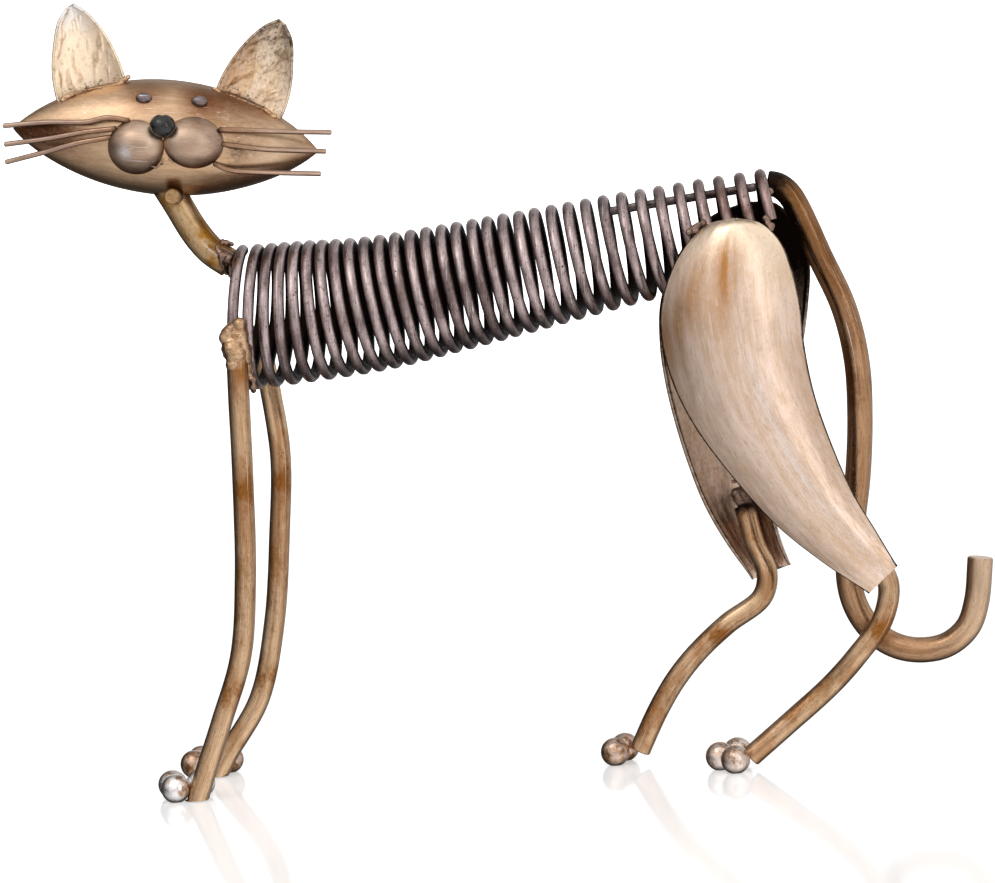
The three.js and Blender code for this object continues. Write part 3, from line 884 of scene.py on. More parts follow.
@dataclass
class Trunk:
    """The spring and the thin rod inside its top."""

    turns: float = 32.25
    pitch: float = 4.65
    stretch: float = 0.061
    stretched_from: float = 18.0
    front_radius: float = 22.4
    rear_radius: float = 15.0
    wire: float = 3.4
    front_lean: float = -7.0
    rear_lean: float = 7.4
    leaning_turns: float = 9.0
    steps: int = 40
    heights: tuple[float, ...] = (142.2, 144.4, 150.5, 157.2, 163.3)

    def advance(self, turn: float) -> float:
        """Gives how far along a turn starts."""
        return turn * self.pitch + self.stretch * max(0.0, turn - self.stretched_from) ** 2

    def height(self, share: float) -> float:
        """Gives the height of the spring's axis at a share of its length."""
        line = route([(k, 0, z) for k, z in enumerate(self.heights)])
        return float(line.at(np.array([share]))[0][2])

    def radius(self, share: float) -> float:
        """Gives the spring's outer radius at a share of its length."""
        return self.front_radius + (self.rear_radius - self.front_radius) * share

    def build(self) -> None:
        """Builds the spring and the spine."""
        self.build_spring()
        self.build_spine()

    def build_spring(self) -> None:
        """Winds the spring by rule along its rising axis."""
        length = self.advance(self.turns)
        number = "NodeSocketFloat"
        maker = Maker(
            "wound_spring",
            {
                "Turns": (number, self.turns),
                "Steps a turn": (number, float(self.steps)),
                "Pitch": (number, self.pitch),
                "Stretch": (number, self.stretch),
                "Stretched from": (number, self.stretched_from),
                "Length": (number, length),
                "Front radius": (number, self.front_radius - self.wire / 2),
                "Rear radius": (number, self.rear_radius - self.wire / 2),
                "Front lean": (number, math.radians(self.front_lean)),
                "Rear lean": (number, math.radians(self.rear_lean)),
                "Leaning turns": (number, self.leaning_turns),
                "Wire radius": (number, self.wire / 2 * MM),
                "Finish": ("NodeSocketMaterial", Finish.SPRING.made()),
            },
        )
        g = maker.graph
        turn = g.node("GeometryNodeInputIndex") / maker.given("Steps a turn")
        drawn = (turn - maker.given("Stretched from")).function("MAXIMUM", 0.0)
        ahead = turn * maker.given("Pitch") + maker.given("Stretch") * drawn * drawn
        share = ahead / maker.given("Length")
        front, rear = maker.given("Front radius"), maker.given("Rear radius")
        settle = g.node(
            "ShaderNodeMapRange",
            {"interpolation_type": "SMOOTHSTEP"},
            {"Value": turn, "From Min": 0.0, "From Max": maker.given("Leaning turns")},
        )
        lean = maker.given("Front lean") + (maker.given("Rear lean") - maker.given("Front lean")) * settle
        angle = turn * (2 * math.pi)
        uneven = g.node(
            "ShaderNodeTexNoise",
            {"noise_dimensions": "1D"},
            {"W": turn * 0.83, "Scale": 1.0, "Detail": 2.0},
        )
        radius = front + (rear - front) * share
        up, out = angle.function("COSINE") * radius, angle.function("SINE") * radius
        rise = g.node("ShaderNodeFloatCurve", {}, {"Value": share})
        curve = rise.socket.node.mapping.curves[0]
        lowest, highest = self.heights[0], self.heights[-1]
        for k in range(1, 8):
            curve.points.new(k / 8, (self.height(k / 8) - lowest) / (highest - lowest))
        rise.socket.node.mapping.update()
        axis = lowest + rise * (highest - lowest)
        place = g.node(
            "ShaderNodeCombineXYZ",
            {},
            {
                "X": DATUM.first_turn + ahead - up * lean.function("SINE") + (uneven - 0.5) * 0.55,
                "Y": DATUM.middle - out,
                "Z": axis + up * lean.function("COSINE"),
            },
        )
        count = maker.given("Turns") * maker.given("Steps a turn") + 1
        line = g.node("GeometryNodeMeshLine", {}, {"Count": count})
        thread = g.node("GeometryNodeMeshToCurve", {}, {"Mesh": line})
        scaled = g.vector("MULTIPLY", place, (MM, MM, MM))
        wound = g.node("GeometryNodeSetPosition", {}, {"Geometry": thread, "Position": scaled})
        kept = g.node(
            "GeometryNodeStoreNamedAttribute",
            {"data_type": "FLOAT", "domain": "POINT"},
            {"Geometry": wound, "Name": "turn", "Value": turn},
        )
        section = g.node(
            "GeometryNodeCurvePrimitiveCircle", {}, {"Resolution": 16, "Radius": maker.given("Wire radius")}
        )
        wire = g.node(
            "GeometryNodeCurveToMesh", {}, {"Curve": kept, "Profile Curve": section, "Fill Caps": True}
        )
        made = maker.run("spring_trunk", bpy.data.meshes.new("spring_start"), wire)
        self.paint_spring(made.data)
        placed(made, Finish.SPRING, ["body_spring"])

    def paint_spring(self, mesh: bpy.types.Mesh) -> None:
        """Paints the wire's grain, painted shade on the side facing into the coil and a darker rear as
        painted shade.
        """
        count = len(mesh.vertices)
        place = np.zeros(count * 3, np.float32)
        mesh.vertices.foreach_get("co", place)
        place = place.reshape(-1, 3) / MM
        normal = np.zeros(count * 3, np.float32)
        mesh.vertex_normals.foreach_get("vector", normal)
        normal = normal.reshape(-1, 3)
        share = np.clip((place[:, 0] - DATUM.first_turn) / self.advance(self.turns), 0, 1)
        axis = np.interp(share, np.linspace(0, 1, 33), [self.height(k / 32) for k in range(33)])
        out = np.column_stack([np.zeros(count), place[:, 1] - DATUM.middle, place[:, 2] - axis])
        reach = np.linalg.norm(out, axis=1)
        facing = (normal * out).sum(1) / np.maximum(reach, 1e-6)
        angle = np.arctan2(out[:, 1], out[:, 2])
        round_wire = np.column_stack([angle * self.front_radius, place[:, 0] * 1.0, reach])
        # Painted shade: the wire's side that faces into the coil is painted near black, and the rear turns
        # are painted browner.
        soot_and_shade = smooth(-facing, -0.78, -0.05)
        tint = smooth(share, 0.6, 1.0) * 0.5
        for name, values in (("soot_and_shade", soot_and_shade), ("tint", tint)):
            mesh.attributes.new(name, "FLOAT", "POINT").data.foreach_set("value", values.astype(np.float32))
        grain = mesh.attributes.new("grain", "FLOAT_VECTOR", "POINT")
        grain.data.foreach_set("vector", round_wire.astype(np.float32).ravel())

    def build_spine(self) -> None:
        """Runs the thin rod just inside the top of the rear turns."""
        diameter = 2.6
        drop = self.wire + diameter / 2 + 0.3
        points = []
        for share in (0.7, 0.79, 0.88, 0.97):
            top = self.height(share) + self.radius(share) * math.cos(math.radians(self.rear_lean)) - drop
            points.append((DATUM.first_turn + share * self.advance(self.turns), DATUM.middle, top))
        skin = rod(route(points).even(1.5), diameter, 16, masks=lambda p, s: {"soot_and_shade": np.full(len(p), 0.55)})
        skin.piece("spine_wire", Finish.SPRING, ["spine_rod"])


# Head


@dataclass
class Head:
    """The almond head with its cheeks, eyes, nose, whiskers and ears."""

    length: float = 91.8
    rise: float = 17.8
    drop: float = 16.4
    depth: float = 15.0
    tilt: float = 7.9
    turn: float = 7.5
    seat: Point = DATUM.front(-18.6, 0, 197.2)

    def world(self) -> Matrix:
        """Gives the head's own frame in the model's frame."""
        turned = Matrix.Rotation(math.radians(self.turn), 4, "Z")
        turned = turned @ Matrix.Rotation(math.radians(self.tilt), 4, "Y")
        return Matrix.Translation(Vector(self.seat)) @ turned

    def moved(self, skin: Skin) -> Skin:
        """Moves a surface from the head's frame to the model's."""
        world = np.array(self.world())
        skin.points = skin.points @ world[:3, :3].T + world[:3, 3]
        return skin

    def place(self, points: Sequence[Point]) -> list[Point]:
        """Moves points from the head's frame to the model's."""
        world = self.world()
        return [tuple(world @ Vector(p)) for p in points]

    def front_of(self, x: float, z: float) -> float:
        """Gives the y of the shell's front at a place seen from the front."""
        share = x / self.length + 0.5
        full = max(0.0, 4 * share * (1 - share))
        high = (self.rise if z > 0 else self.drop) * full**0.85
        return -self.depth * full**0.9 * math.sqrt(max(0.0, 1 - (z / max(high, 1e-6)) ** 2))

    def build(self) -> None:
        """Builds every piece of the head."""
        self.build_shell()
        self.build_cheeks()
        self.build_eyes_and_nose()
        self.build_whiskers()
        self.build_ears()

    def build_shell(self) -> None:
        """Builds the two domed shells and the seam where they meet."""
        rows, sides = 170, 144
        share = 0.5 - 0.5 * np.cos(np.linspace(0, math.pi, rows + 1)[1:-1])
        angle = np.linspace(0, 2 * math.pi, sides, endpoint=False)
        s, a = np.meshgrid(share, angle, indexing="ij")
        full = 4 * s * (1 - s)
        high = np.where(np.sin(a) > 0, self.rise, self.drop) * full**0.85
        seam = 0.28 * np.exp(-((np.cos(a) / 0.045) ** 2)) * np.minimum(1, full * 3)
        deep = self.depth * full**0.9 * np.cos(a)
        points = np.stack([(s - 0.5) * self.length, deep, (high + seam) * np.sin(a)], 2)
        flat = np.vstack([points.reshape(-1, 3), [-self.length / 2, 0, 0], [self.length / 2, 0, 0]])
        flat[:-2] *= 1 + 0.0016 * ripple(flat[:-2], (0.07, 0.09, 0.09))[:, None]
        faces: list[tuple[int, ...]] = []
        count = len(share)
        for i in range(count - 1):
            for j in range(sides):
                k = (j + 1) % sides
                faces.append((i * sides + j, i * sides + k, (i + 1) * sides + k, (i + 1) * sides + j))
        last = (count - 1) * sides
        for j in range(sides):
            k = (j + 1) % sides
            faces += [(count * sides, k, j), (count * sides + 1, last + j, last + k)]
        x, z = flat[:, 0], flat[:, 2]
        full = np.clip(1 - (2 * x / self.length) ** 2, 0, 1)
        lift = z / np.maximum(np.where(z > 0, self.rise, self.drop) * full**0.85, 1e-3)
        # Painted shade: rim darkens the top edge, below the lower half, jaw the lower fore end, hollow the
        # band under the fore whiskers and aft the band between the aft whiskers. halo is temper tint round
        # the eyes; brow, on the upper aft side, is partly temper tint and partly painted shade.
        rim = smooth(lift, 0.35, 1.0) * smooth(x, -36, -10)
        halo = np.maximum(near(flat, (-7.0, -10.6, 12.1), 9), near(flat, (9.6, -10.3, 12.4), 9))
        brow = near(flat, (19, -9, 11), 17)
        below = smooth(-lift, 0.35, 1.0) * smooth(x, -30, 25)
        jaw = smooth(-z, 1, 8) * smooth(-x, 4, 20)
        hollow = smooth(-x, 12, 36) * smooth(2.4 - z, -0.3, 0.5) * smooth(z, -9, 1)
        aft = smooth(x, 18, 30) * smooth(4.6 - z, 0.0, 3.0) * smooth(z, -8, -2)
        tint = 0.34 * rim + 0.55 * halo + 0.42 * brow + 0.4 * below + 0.85 * hollow + 0.25 * aft + 0.3 * jaw
        tint = np.clip(tint, 0, 1)
        # The seam is darkened where the two shells meet, and the hollow gets more painted shade.
        seam_and_shade = smooth(np.abs(lift), 0.96, 1.0) * 0.3 + 0.55 * hollow
        roots = np.maximum(near(flat, (22, -12, -1.5), 8), near(flat, (-17, -12, 0), 6) * 0.7)
        ears = np.maximum(near(flat, (-24, -1, 13), 11), near(flat, (24, -1, 12), 12)) * 0.4
        # glow is painted highlight: pale patches on the upper fore side, at the aft tip and low on the fore
        # side.
        glow = np.maximum(near(flat, (-22, -10, 9), 20), near(flat, (-4, -13, 9), 12) * 0.8) * 0.15
        glow += near(flat, (33, -8, -1), 12) * 0.5 + near(flat, (-16, -10, -9), 12) * 0.2
        masks = {
            "tint": tint,
            "soot_and_shade": np.clip(seam_and_shade + 0.55 * roots + ears, 0, 1),
            "pale": np.clip(glow * (1 - tint), 0, 1),
        }
        grain = np.column_stack([x, z * 1.2, flat[:, 1]])
        skin = Skin(flat, faces, grain, masks)
        skin.face_out()
        self.moved(skin).piece("head_shell", Finish.SHELL, ["head"])

    def dome(self, middle: Point, radii: Point, rows: int, sides: int) -> Skin:
        """Makes a closed bead in the head's frame.

        Args:
            middle: Its middle.
            radii: Its half sizes.
            rows: Rings of faces.
            sides: Faces in a ring.

        Returns:
            The bead's surface.
        """
        fall = np.linspace(0, math.pi, rows + 1)[1:-1]
        angle = np.linspace(0, 2 * math.pi, sides, endpoint=False)
        f, a = np.meshgrid(fall, angle, indexing="ij")
        ball = np.stack([np.sin(f) * np.cos(a), -np.cos(f), np.sin(f) * np.sin(a)], 2).reshape(-1, 3)
        ball = np.vstack([ball, [0, -1, 0], [0, 1, 0]])
        count = len(fall)
        faces: list[tuple[int, ...]] = []
        for i in range(count - 1):
            for j in range(sides):
                k = (j + 1) % sides
                faces.append((i * sides + j, i * sides + k, (i + 1) * sides + k, (i + 1) * sides + j))
        last = (count - 1) * sides
        for j in range(sides):
            k = (j + 1) % sides
            faces += [(count * sides, k, j), (count * sides + 1, last + j, last + k)]
        points = ball * np.array(radii) + np.array(middle)
        skin = Skin(points, faces, points[:, [0, 2, 1]] * np.array([1.0, 1.0, 1.0]))
        skin.face_out()
        return skin

    def cheek(self, middle: Point, radii: Point) -> Skin:
        """Makes a pressed cheek that rises softly out of the shell.

        Args:
            middle: Its middle, in the head's frame.
            radii: Its half width, its height over the shell and its half height.

        Returns:
            The cheek's surface, closed inside the head.
        """
        rows, sides = 46, 84
        share = np.linspace(0, 1, rows + 1)[1:]
        angle = np.linspace(0, 2 * math.pi, sides, endpoint=False)
        r, a = np.meshgrid(share, angle, indexing="ij")
        x = middle[0] + r * radii[0] * np.cos(a)
        z = middle[2] + r * radii[2] * np.sin(a)
        lift = radii[1] * (1 - r**2.3) ** 0.72
        y = np.array([self.front_of(px, pz) for px, pz in zip(x.ravel(), z.ravel())])
        y = y.reshape(x.shape) - lift + 0.25
        front = np.stack([x, y, z], 2).reshape(-1, 3)
        top = [middle[0], self.front_of(middle[0], middle[2]) - radii[1] + 0.25, middle[2]]
        back = front[-sides:] + np.array([0, 2.0, 0])
        points = np.vstack([front, back, [top], [[middle[0], back[:, 1].mean(), middle[2]]]])
        faces: list[tuple[int, ...]] = []
        for i in range(rows):
            for j in range(sides):
                k = (j + 1) % sides
                faces.append((i * sides + j, i * sides + k, (i + 1) * sides + k, (i + 1) * sides + j))
        crown, foot, last = (rows + 1) * sides, (rows + 1) * sides + 1, rows * sides
        for j in range(sides):
            k = (j + 1) % sides
            faces += [(crown, k, j), (foot, last + j, last + k)]
        skin = Skin(points, faces, points[:, [0, 2, 1]].copy())
        skin.face_out()
        return skin

    def build_cheeks(self) -> None:
        """Builds the two pressed cheeks, with a silver painted highlight on the fore one."""
        for name, middle, radii in (
            ("cheek_fore", (-8.2, -12.6, -2.5), (8.5, 4.7, 8.3)),
            ("cheek_aft", (8.8, -12.6, 0.1), (9.1, 4.2, 7.8)),
        ):
            skin = self.cheek(middle, radii)
            p = skin.points
            r = np.hypot((p[:, 0] - middle[0]) / radii[0], (p[:, 2] - middle[2]) / radii[2])
            # edge and under are painted shade on the lower rim and the lower half; dimple is painted shade in
            # the creases under the nose; the fore cheek's silver patch and the pale spot up near the nose are
            # painted highlight.
            edge = smooth(r, 0.72, 1.0) * smooth(-(p[:, 2] - middle[2]), -4, 5)
            highlight_patch = near(p, (-11.5, -17.6, -4.2), 4.6) if name == "cheek_fore" else np.zeros(len(p))
            dimple = np.maximum(near(p, (-2.2, -14.6, -8.2), 3.4), near(p, (2.8, -14.6, -6.0), 3.2))
            under = smooth(middle[2] - p[:, 2], 1.0, 9.0) * 0.4
            upper = near(p, (9.5, -16.5, 7.0), 5) * 0.7
            skin.masks = {
                "tint": np.clip(0.45 * edge + under + upper, 0, 1),
                "bright": highlight_patch * 0.7,
                "soot_and_shade": np.clip(dimple * 0.7 + 0.2 * edge, 0, 1),
                "pale": near(p, (-2.0, -17, 2.5), 7) * 0.5,
            }
            self.moved(skin).piece(name + "_dome", Finish.CHEEK, [name])

    def build_eyes_and_nose(self) -> None:
        """Builds the two beads of the eyes and the lacquered nose with its notch."""
        for name, middle in (("eye_fore", (-7.0, -10.6, 12.1)), ("eye_aft", (9.6, -10.3, 12.4))):
            skin = self.dome(middle, (2.5, 1.7, 1.75), 20, 28)
            self.moved(skin).piece(name + "_bead", Finish.EYE, [name])
        skin = self.dome((-0.6, -17.0, 4.5), (3.95, 3.6, 3.5), 36, 48)
        p = skin.points - np.array((-0.6, -17.0, 4.5))
        notch = np.exp(-((p[:, 0] + 0.3) ** 2) / 0.5) * smooth(p[:, 2], 1.2, 3.4)
        flats = ripple(p, (0.33, 0.33, 0.33), 5.0)
        skin.points = skin.points - p * (0.10 * notch + 0.018 * flats)[:, None]
        self.moved(skin).piece("nose_ball", Finish.NOSE, ["nose"])

    def build_whiskers(self) -> None:
        """Builds the six wires that run out over the face."""
        routes = {
            "fore_1": [(-10.6, -14.0, 5.2), (-17.3, -13.9, 5.6), (-23.3, -12.6, 3.9), (-36, -7.8, 2.7),
                       (-48.7, -3.0, 0.6)],
            "fore_2": [(-14.4, -14.2, 2.6), (-23, -12.7, 1.0), (-35.4, -8.3, -2.2), (-47.9, -3.5, -4.9)],
            "fore_3": [(-15.6, -13.6, 0.0), (-26, -12.2, -2.7), (-35, -8.7, -6.0), (-47.2, -3.8, -10.2)],
            "aft_1": [(16.0, -13.6, 4.6), (29, -11.7, 5.1), (40.0, -7.4, 5.5), (49.4, -3.6, 6.0)],
            "aft_2": [(17.0, -13.4, 0.4), (29.0, -11.8, -0.3), (39, -8.0, -0.1), (48.2, -4.0, 0.2)],
            "aft_3": [(15.2, -12.6, -5.6), (19.9, -12.2, -7.2), (29.8, -9.7, -7.3), (47.2, -4.0, -6.6)],
        }
        for name, points in routes.items():
            skin = rod(
                route(points).even(0.8),
                1.6,
                14,
                0.25,
                masks=lambda p, s: {"tint": 0.6 * smooth(-s, -30, 0), "soot_and_shade": 0.6 * smooth(-s, -3, 0)},
            )
            self.moved(skin).piece("whisker_wire_" + name, Finish.WHISKER, ["whisker_" + name])

    def build_ears(self) -> None:
        """Builds the two cupped, hammered leaves of the ears."""
        outer = [(31.5, 4), (34.4, 11), (35.9, 18), (36, 26), (35.2, 32.8), (33.0, 37.2)]
        inner = [(12.5, 12), (14.2, 18.5), (17.2, 25), (21.6, 31.5), (26.6, 36.4), (30.8, 38.7)]
        for name, side in (("fore", -1), ("aft", 1)):
            edges = [route([(side * x + 0.5, -1.2, z) for x, z in points]) for points in (outer, inner)]
            first, second = edges if side < 0 else edges[::-1]

            def dome(u: np.ndarray, v: np.ndarray) -> np.ndarray:
                """Cups the ear, open to the front."""
                return 4.2 * (1 - 0.85 * u**2) * (1 - v * v)

            def beat(u: np.ndarray, v: np.ndarray, side: int = side) -> np.ndarray:
                """Gives the short slanting marks that the hammer left, from 0 to 1."""
                width, height = v * 9.5 * (1.05 - 0.75 * u), u * 32
                slant = math.radians(-8 if side < 0 else 32)
                across = width * math.cos(slant) - height * math.sin(slant) * side
                along = width * math.sin(slant) * side + height * math.cos(slant)
                place = np.column_stack([across * 0.62, along * 0.17, np.full_like(u, 4.0 + side)])
                marks = np.array([noise.noise(Vector(q)) + 0.5 * noise.noise(Vector(q) * 2.1) for q in place])
                return smooth(marks, -0.02, 0.6) * np.clip((1 - v * v) * 4, 0, 1) * smooth(1 - u, 0.04, 0.2)

            def relief(u: np.ndarray, v: np.ndarray, side: int = side, beat: Callable = beat) -> np.ndarray:
                """Hammers the marks into the ear."""
                return (-0.26 if side < 0 else -0.18) * beat(u, v)

            def masks(
                p: np.ndarray,
                u: np.ndarray,
                v: np.ndarray,
                inside: np.ndarray,
                side: int = side,
                beat: Callable = beat,
            ) -> dict[str, np.ndarray]:
                """Paints the marks with painted shade in their dents, the golden foot and dark rim, painted
                shade inside, the left ear paler with a silver tip as painted highlight and the right one
                darker towards its tip as painted shade.
                """
                groove = beat(u, v)
                foot = smooth(-u, -0.75, -0.15)
                edge = smooth(np.abs(v), 0.98, 1.0)
                # shade is painted shade on the aft ear's inner side; the dents of the marks and the inside
                # face also get painted shade.
                shade = smooth(-v * side, -0.1, 0.95) * smooth(-u, -1.0, -0.3) * (0.36 if side > 0 else 0.0)
                spatter = smooth(ripple(p, (1.1, 1.1, 1.1), 3.0), 0.15, 0.5) * smooth(-u, -0.3, -0.16)
                # The aft ear is painted darker towards its tip as painted shade; the fore ear is painted
                # paler with a silver tip as painted highlight.
                tip_shade = smooth(u, 0.1, 0.9) * (0.34 if side > 0 else 0.0)
                spots = smooth(ripple(p, (0.7, 0.7, 0.7), 8.0), 0.42, 0.5) * smooth(u, 0.2, 0.4)
                warm = 0.15 * foot + shade + 0.22 * groove + (0 if side < 0 else 0.2) * smooth(u, 0.1, 0.6)
                dark = 0.3 * edge + 0.45 * spatter + 0.1 * groove + 0.15 * spots + inside * 0.2 + tip_shade
                tip = smooth(u, 0.35, 0.95) * (0.7 if side < 0 else 0.0)
                return {
                    "tint": np.clip(warm, 0, 1),
                    "bright": np.clip(tip - groove * 0.3, 0, 1),
                    "pale": np.clip((1.0 if side < 0 else 0.0) * smooth(u, -0.1, 0.3) - 0.5 * groove, 0, 1),
                    "soot_and_shade": np.clip(dark, 0, 1),
                }

            leaf = Leaf(first, second, dome, -1.1, relief, masks, 200, 96)
            self.moved(leaf.skin()).piece(f"ear_leaf_{name}", Finish.EAR, [f"ear_{name}"], 60)


# Neck, legs and tail


@dataclass
class Rods:
    """The bent rods: neck, chin stub, four legs and the tail."""

    leg: float = 6.4
    tail: float = 7.65
    neck: float = 9.0
    chin: float = 4.8
    front_track: float = 25.7
    front_foot: float = 22.7
    rear_track: float = 12.2
    near_hind_foot: float = 10.0

    def build(self) -> None:
        """Builds every rod."""
        self.build_neck()
        self.build_legs()
        self.build_tail()

    def build_neck(self) -> None:
        """Builds the neck rod and the stub welded across under the chin."""
        d = DATUM
        line = route([d.front(-21.5, 0, 187), d.front(-17, 0, 179), d.front(-11.5, 0, 168.8),
                      d.front(-7, 0, 163), d.front(-1.6, 0, 158.9)])

        def patina(p: np.ndarray, s: np.ndarray) -> dict[str, np.ndarray]:
            """Burns the neck at both welds and yellows its middle."""
            run = s.max()
            patches = np.clip(ripple(p, (0.14, 0.14, 0.14), 4.0) * 1.4, 0, 1)
            return {
                "tint": patches + 0.2 * smooth(-np.abs(s - run * 0.45), -14, 0),
                "soot_and_shade": np.clip(0.5 * smooth(s, run - 4, run) + 0.8 * smooth(-s, -9, -3), 0, 1),
            }

        rod(line.even(0.9), self.neck, 36, 0.4, 0.02, patina).piece("neck_bar", Finish.NECK, ["neck"])
        reach = -(self.neck / 2 + self.chin + 2.4)
        middle = d.front(-16.2, reach / 2, 180.2)
        stub = route([d.front(-15.9, reach, 180.4), middle, d.front(-16.4, -1, 180.0)])

        def ends(p: np.ndarray, s: np.ndarray) -> dict[str, np.ndarray]:
            """Browns the stub and burns it where it meets the neck."""
            return {"tint": np.full(len(p), 0.4), "soot_and_shade": 0.36 + 0.6 * smooth(s, 2, 9)}

        rod(stub.even(0.6), self.chin, 28, 0.35, 0.01, ends).piece("chin_bar", Finish.NECK, ["chin_stub"])

    def build_legs(self) -> None:
        """Builds the four legs, cut flat where they meet the floor."""
        f, r = DATUM.front, DATUM.rear
        track, foot, hind, near_foot = self.front_track, self.front_foot, self.rear_track, self.near_hind_foot
        legs = {
            "front_near": [f(2.9, -track, 139.5), f(2.5, -track, 124), f(1.5, -foot, 96), f(0.3, -foot, 67),
                           f(-2.7, -foot, 43), f(-9.6, -foot, 24), f(-16.8, -foot, 5.5), f(-19.6, -foot, -3)],
            "front_far": [f(1.2, track, 137), f(4.0, track, 118), f(6.2, foot, 98), f(4.4, foot, 75),
                          f(0.9, foot, 47), f(-5.4, foot, 23.5), f(-16.9, foot, 6), f(-21.6, foot, -3)],
            "hind_near": [r(11.5, -17.2, 80.5), r(19, -15.7, 70), r(26.5, -13.5, 61), r(29.8, -hind, 53.5),
                          r(27.4, -hind, 43), r(19.6, -hind, 33), r(11.0, -near_foot, 24),
                          r(-3.0, -near_foot, 12.5), r(-14.1, -near_foot, 3.6)],
            "hind_far": [r(-13.2, 17.2, 76), r(-10.8, 15.2, 65), r(-7.3, hind, 56), r(-9.2, hind, 48.7),
                         r(-20.2, hind, 41), r(-29.5, hind, 33), r(-36.6, hind, 25), r(-42.8, hind, 15.5),
                         r(-49, hind, 3.6)],
        }
        for name, points in legs.items():
            hind_leg = name.startswith("hind")

            def patina(p: np.ndarray, s: np.ndarray, hind_leg: bool = hind_leg) -> dict[str, np.ndarray]:
                """Heats the rod near its weld and in cloudy patches further down."""
                patches = np.clip(ripple(p, (0.09, 0.09, 0.04), 2.0) * 2.0 + 0.15, 0, 1)
                start = smooth(-s, -26, 0)
                burnt = smooth(-s, -5, 0) * (0.9 if hind_leg else 0.3)
                return {"tint": np.clip(0.5 * patches + 0.4 * start, 0, 1), "soot_and_shade": burnt}

            skin = rod(route(points).even(1.0), self.leg, 28, 0.3, 0.015, patina)
            skin.points[:, 2] = np.maximum(skin.points[:, 2], 0.3)
            skin.piece(f"leg_bar_{name}", Finish.LEG, [f"leg_{name}"])

    def build_tail(self) -> None:
        """Builds the tail, one bar that hangs behind the haunches and ends in a hook."""
        points = [(0.2, 173.6), (3.4, 172.8), (6.2, 170.4), (8.6, 166.2), (14.5, 151.2), (20.8, 135.3),
                  (23.7, 119.3), (23.7, 102.3), (22.1, 85), (19.9, 71.9), (17.7, 54.6), (19.6, 45.3),
                  (24.2, 38.1), (30.5, 33.6), (38.0, 31.9), (46.0, 33.2), (52.2, 38.1), (55.2, 45.5),
                  (57.1, 58.9)]

        def patina(p: np.ndarray, s: np.ndarray) -> dict[str, np.ndarray]:
            """Darkens the tail towards its weld and in patches along it, and pales its last stretch."""
            patches = np.clip(ripple(p, (0.04, 0.04, 0.02), 9.0) * 1.5, 0, 1)
            run = s.max()
            return {
                "tint": np.clip(0.35 * patches + 0.6 * smooth(-s, -90, 0), 0, 1),
                "soot_and_shade": smooth(-s, -12, 0),
                "pale": 0.4 * smooth(s, run - 45, run),
            }

        line = route([DATUM.rear(x, 0, z) for x, z in points])
        rod(line.even(1.0), self.tail, 32, 0.4, 0.012, patina).piece("tail_bar", Finish.TAIL, ["tail"])


# Haunches


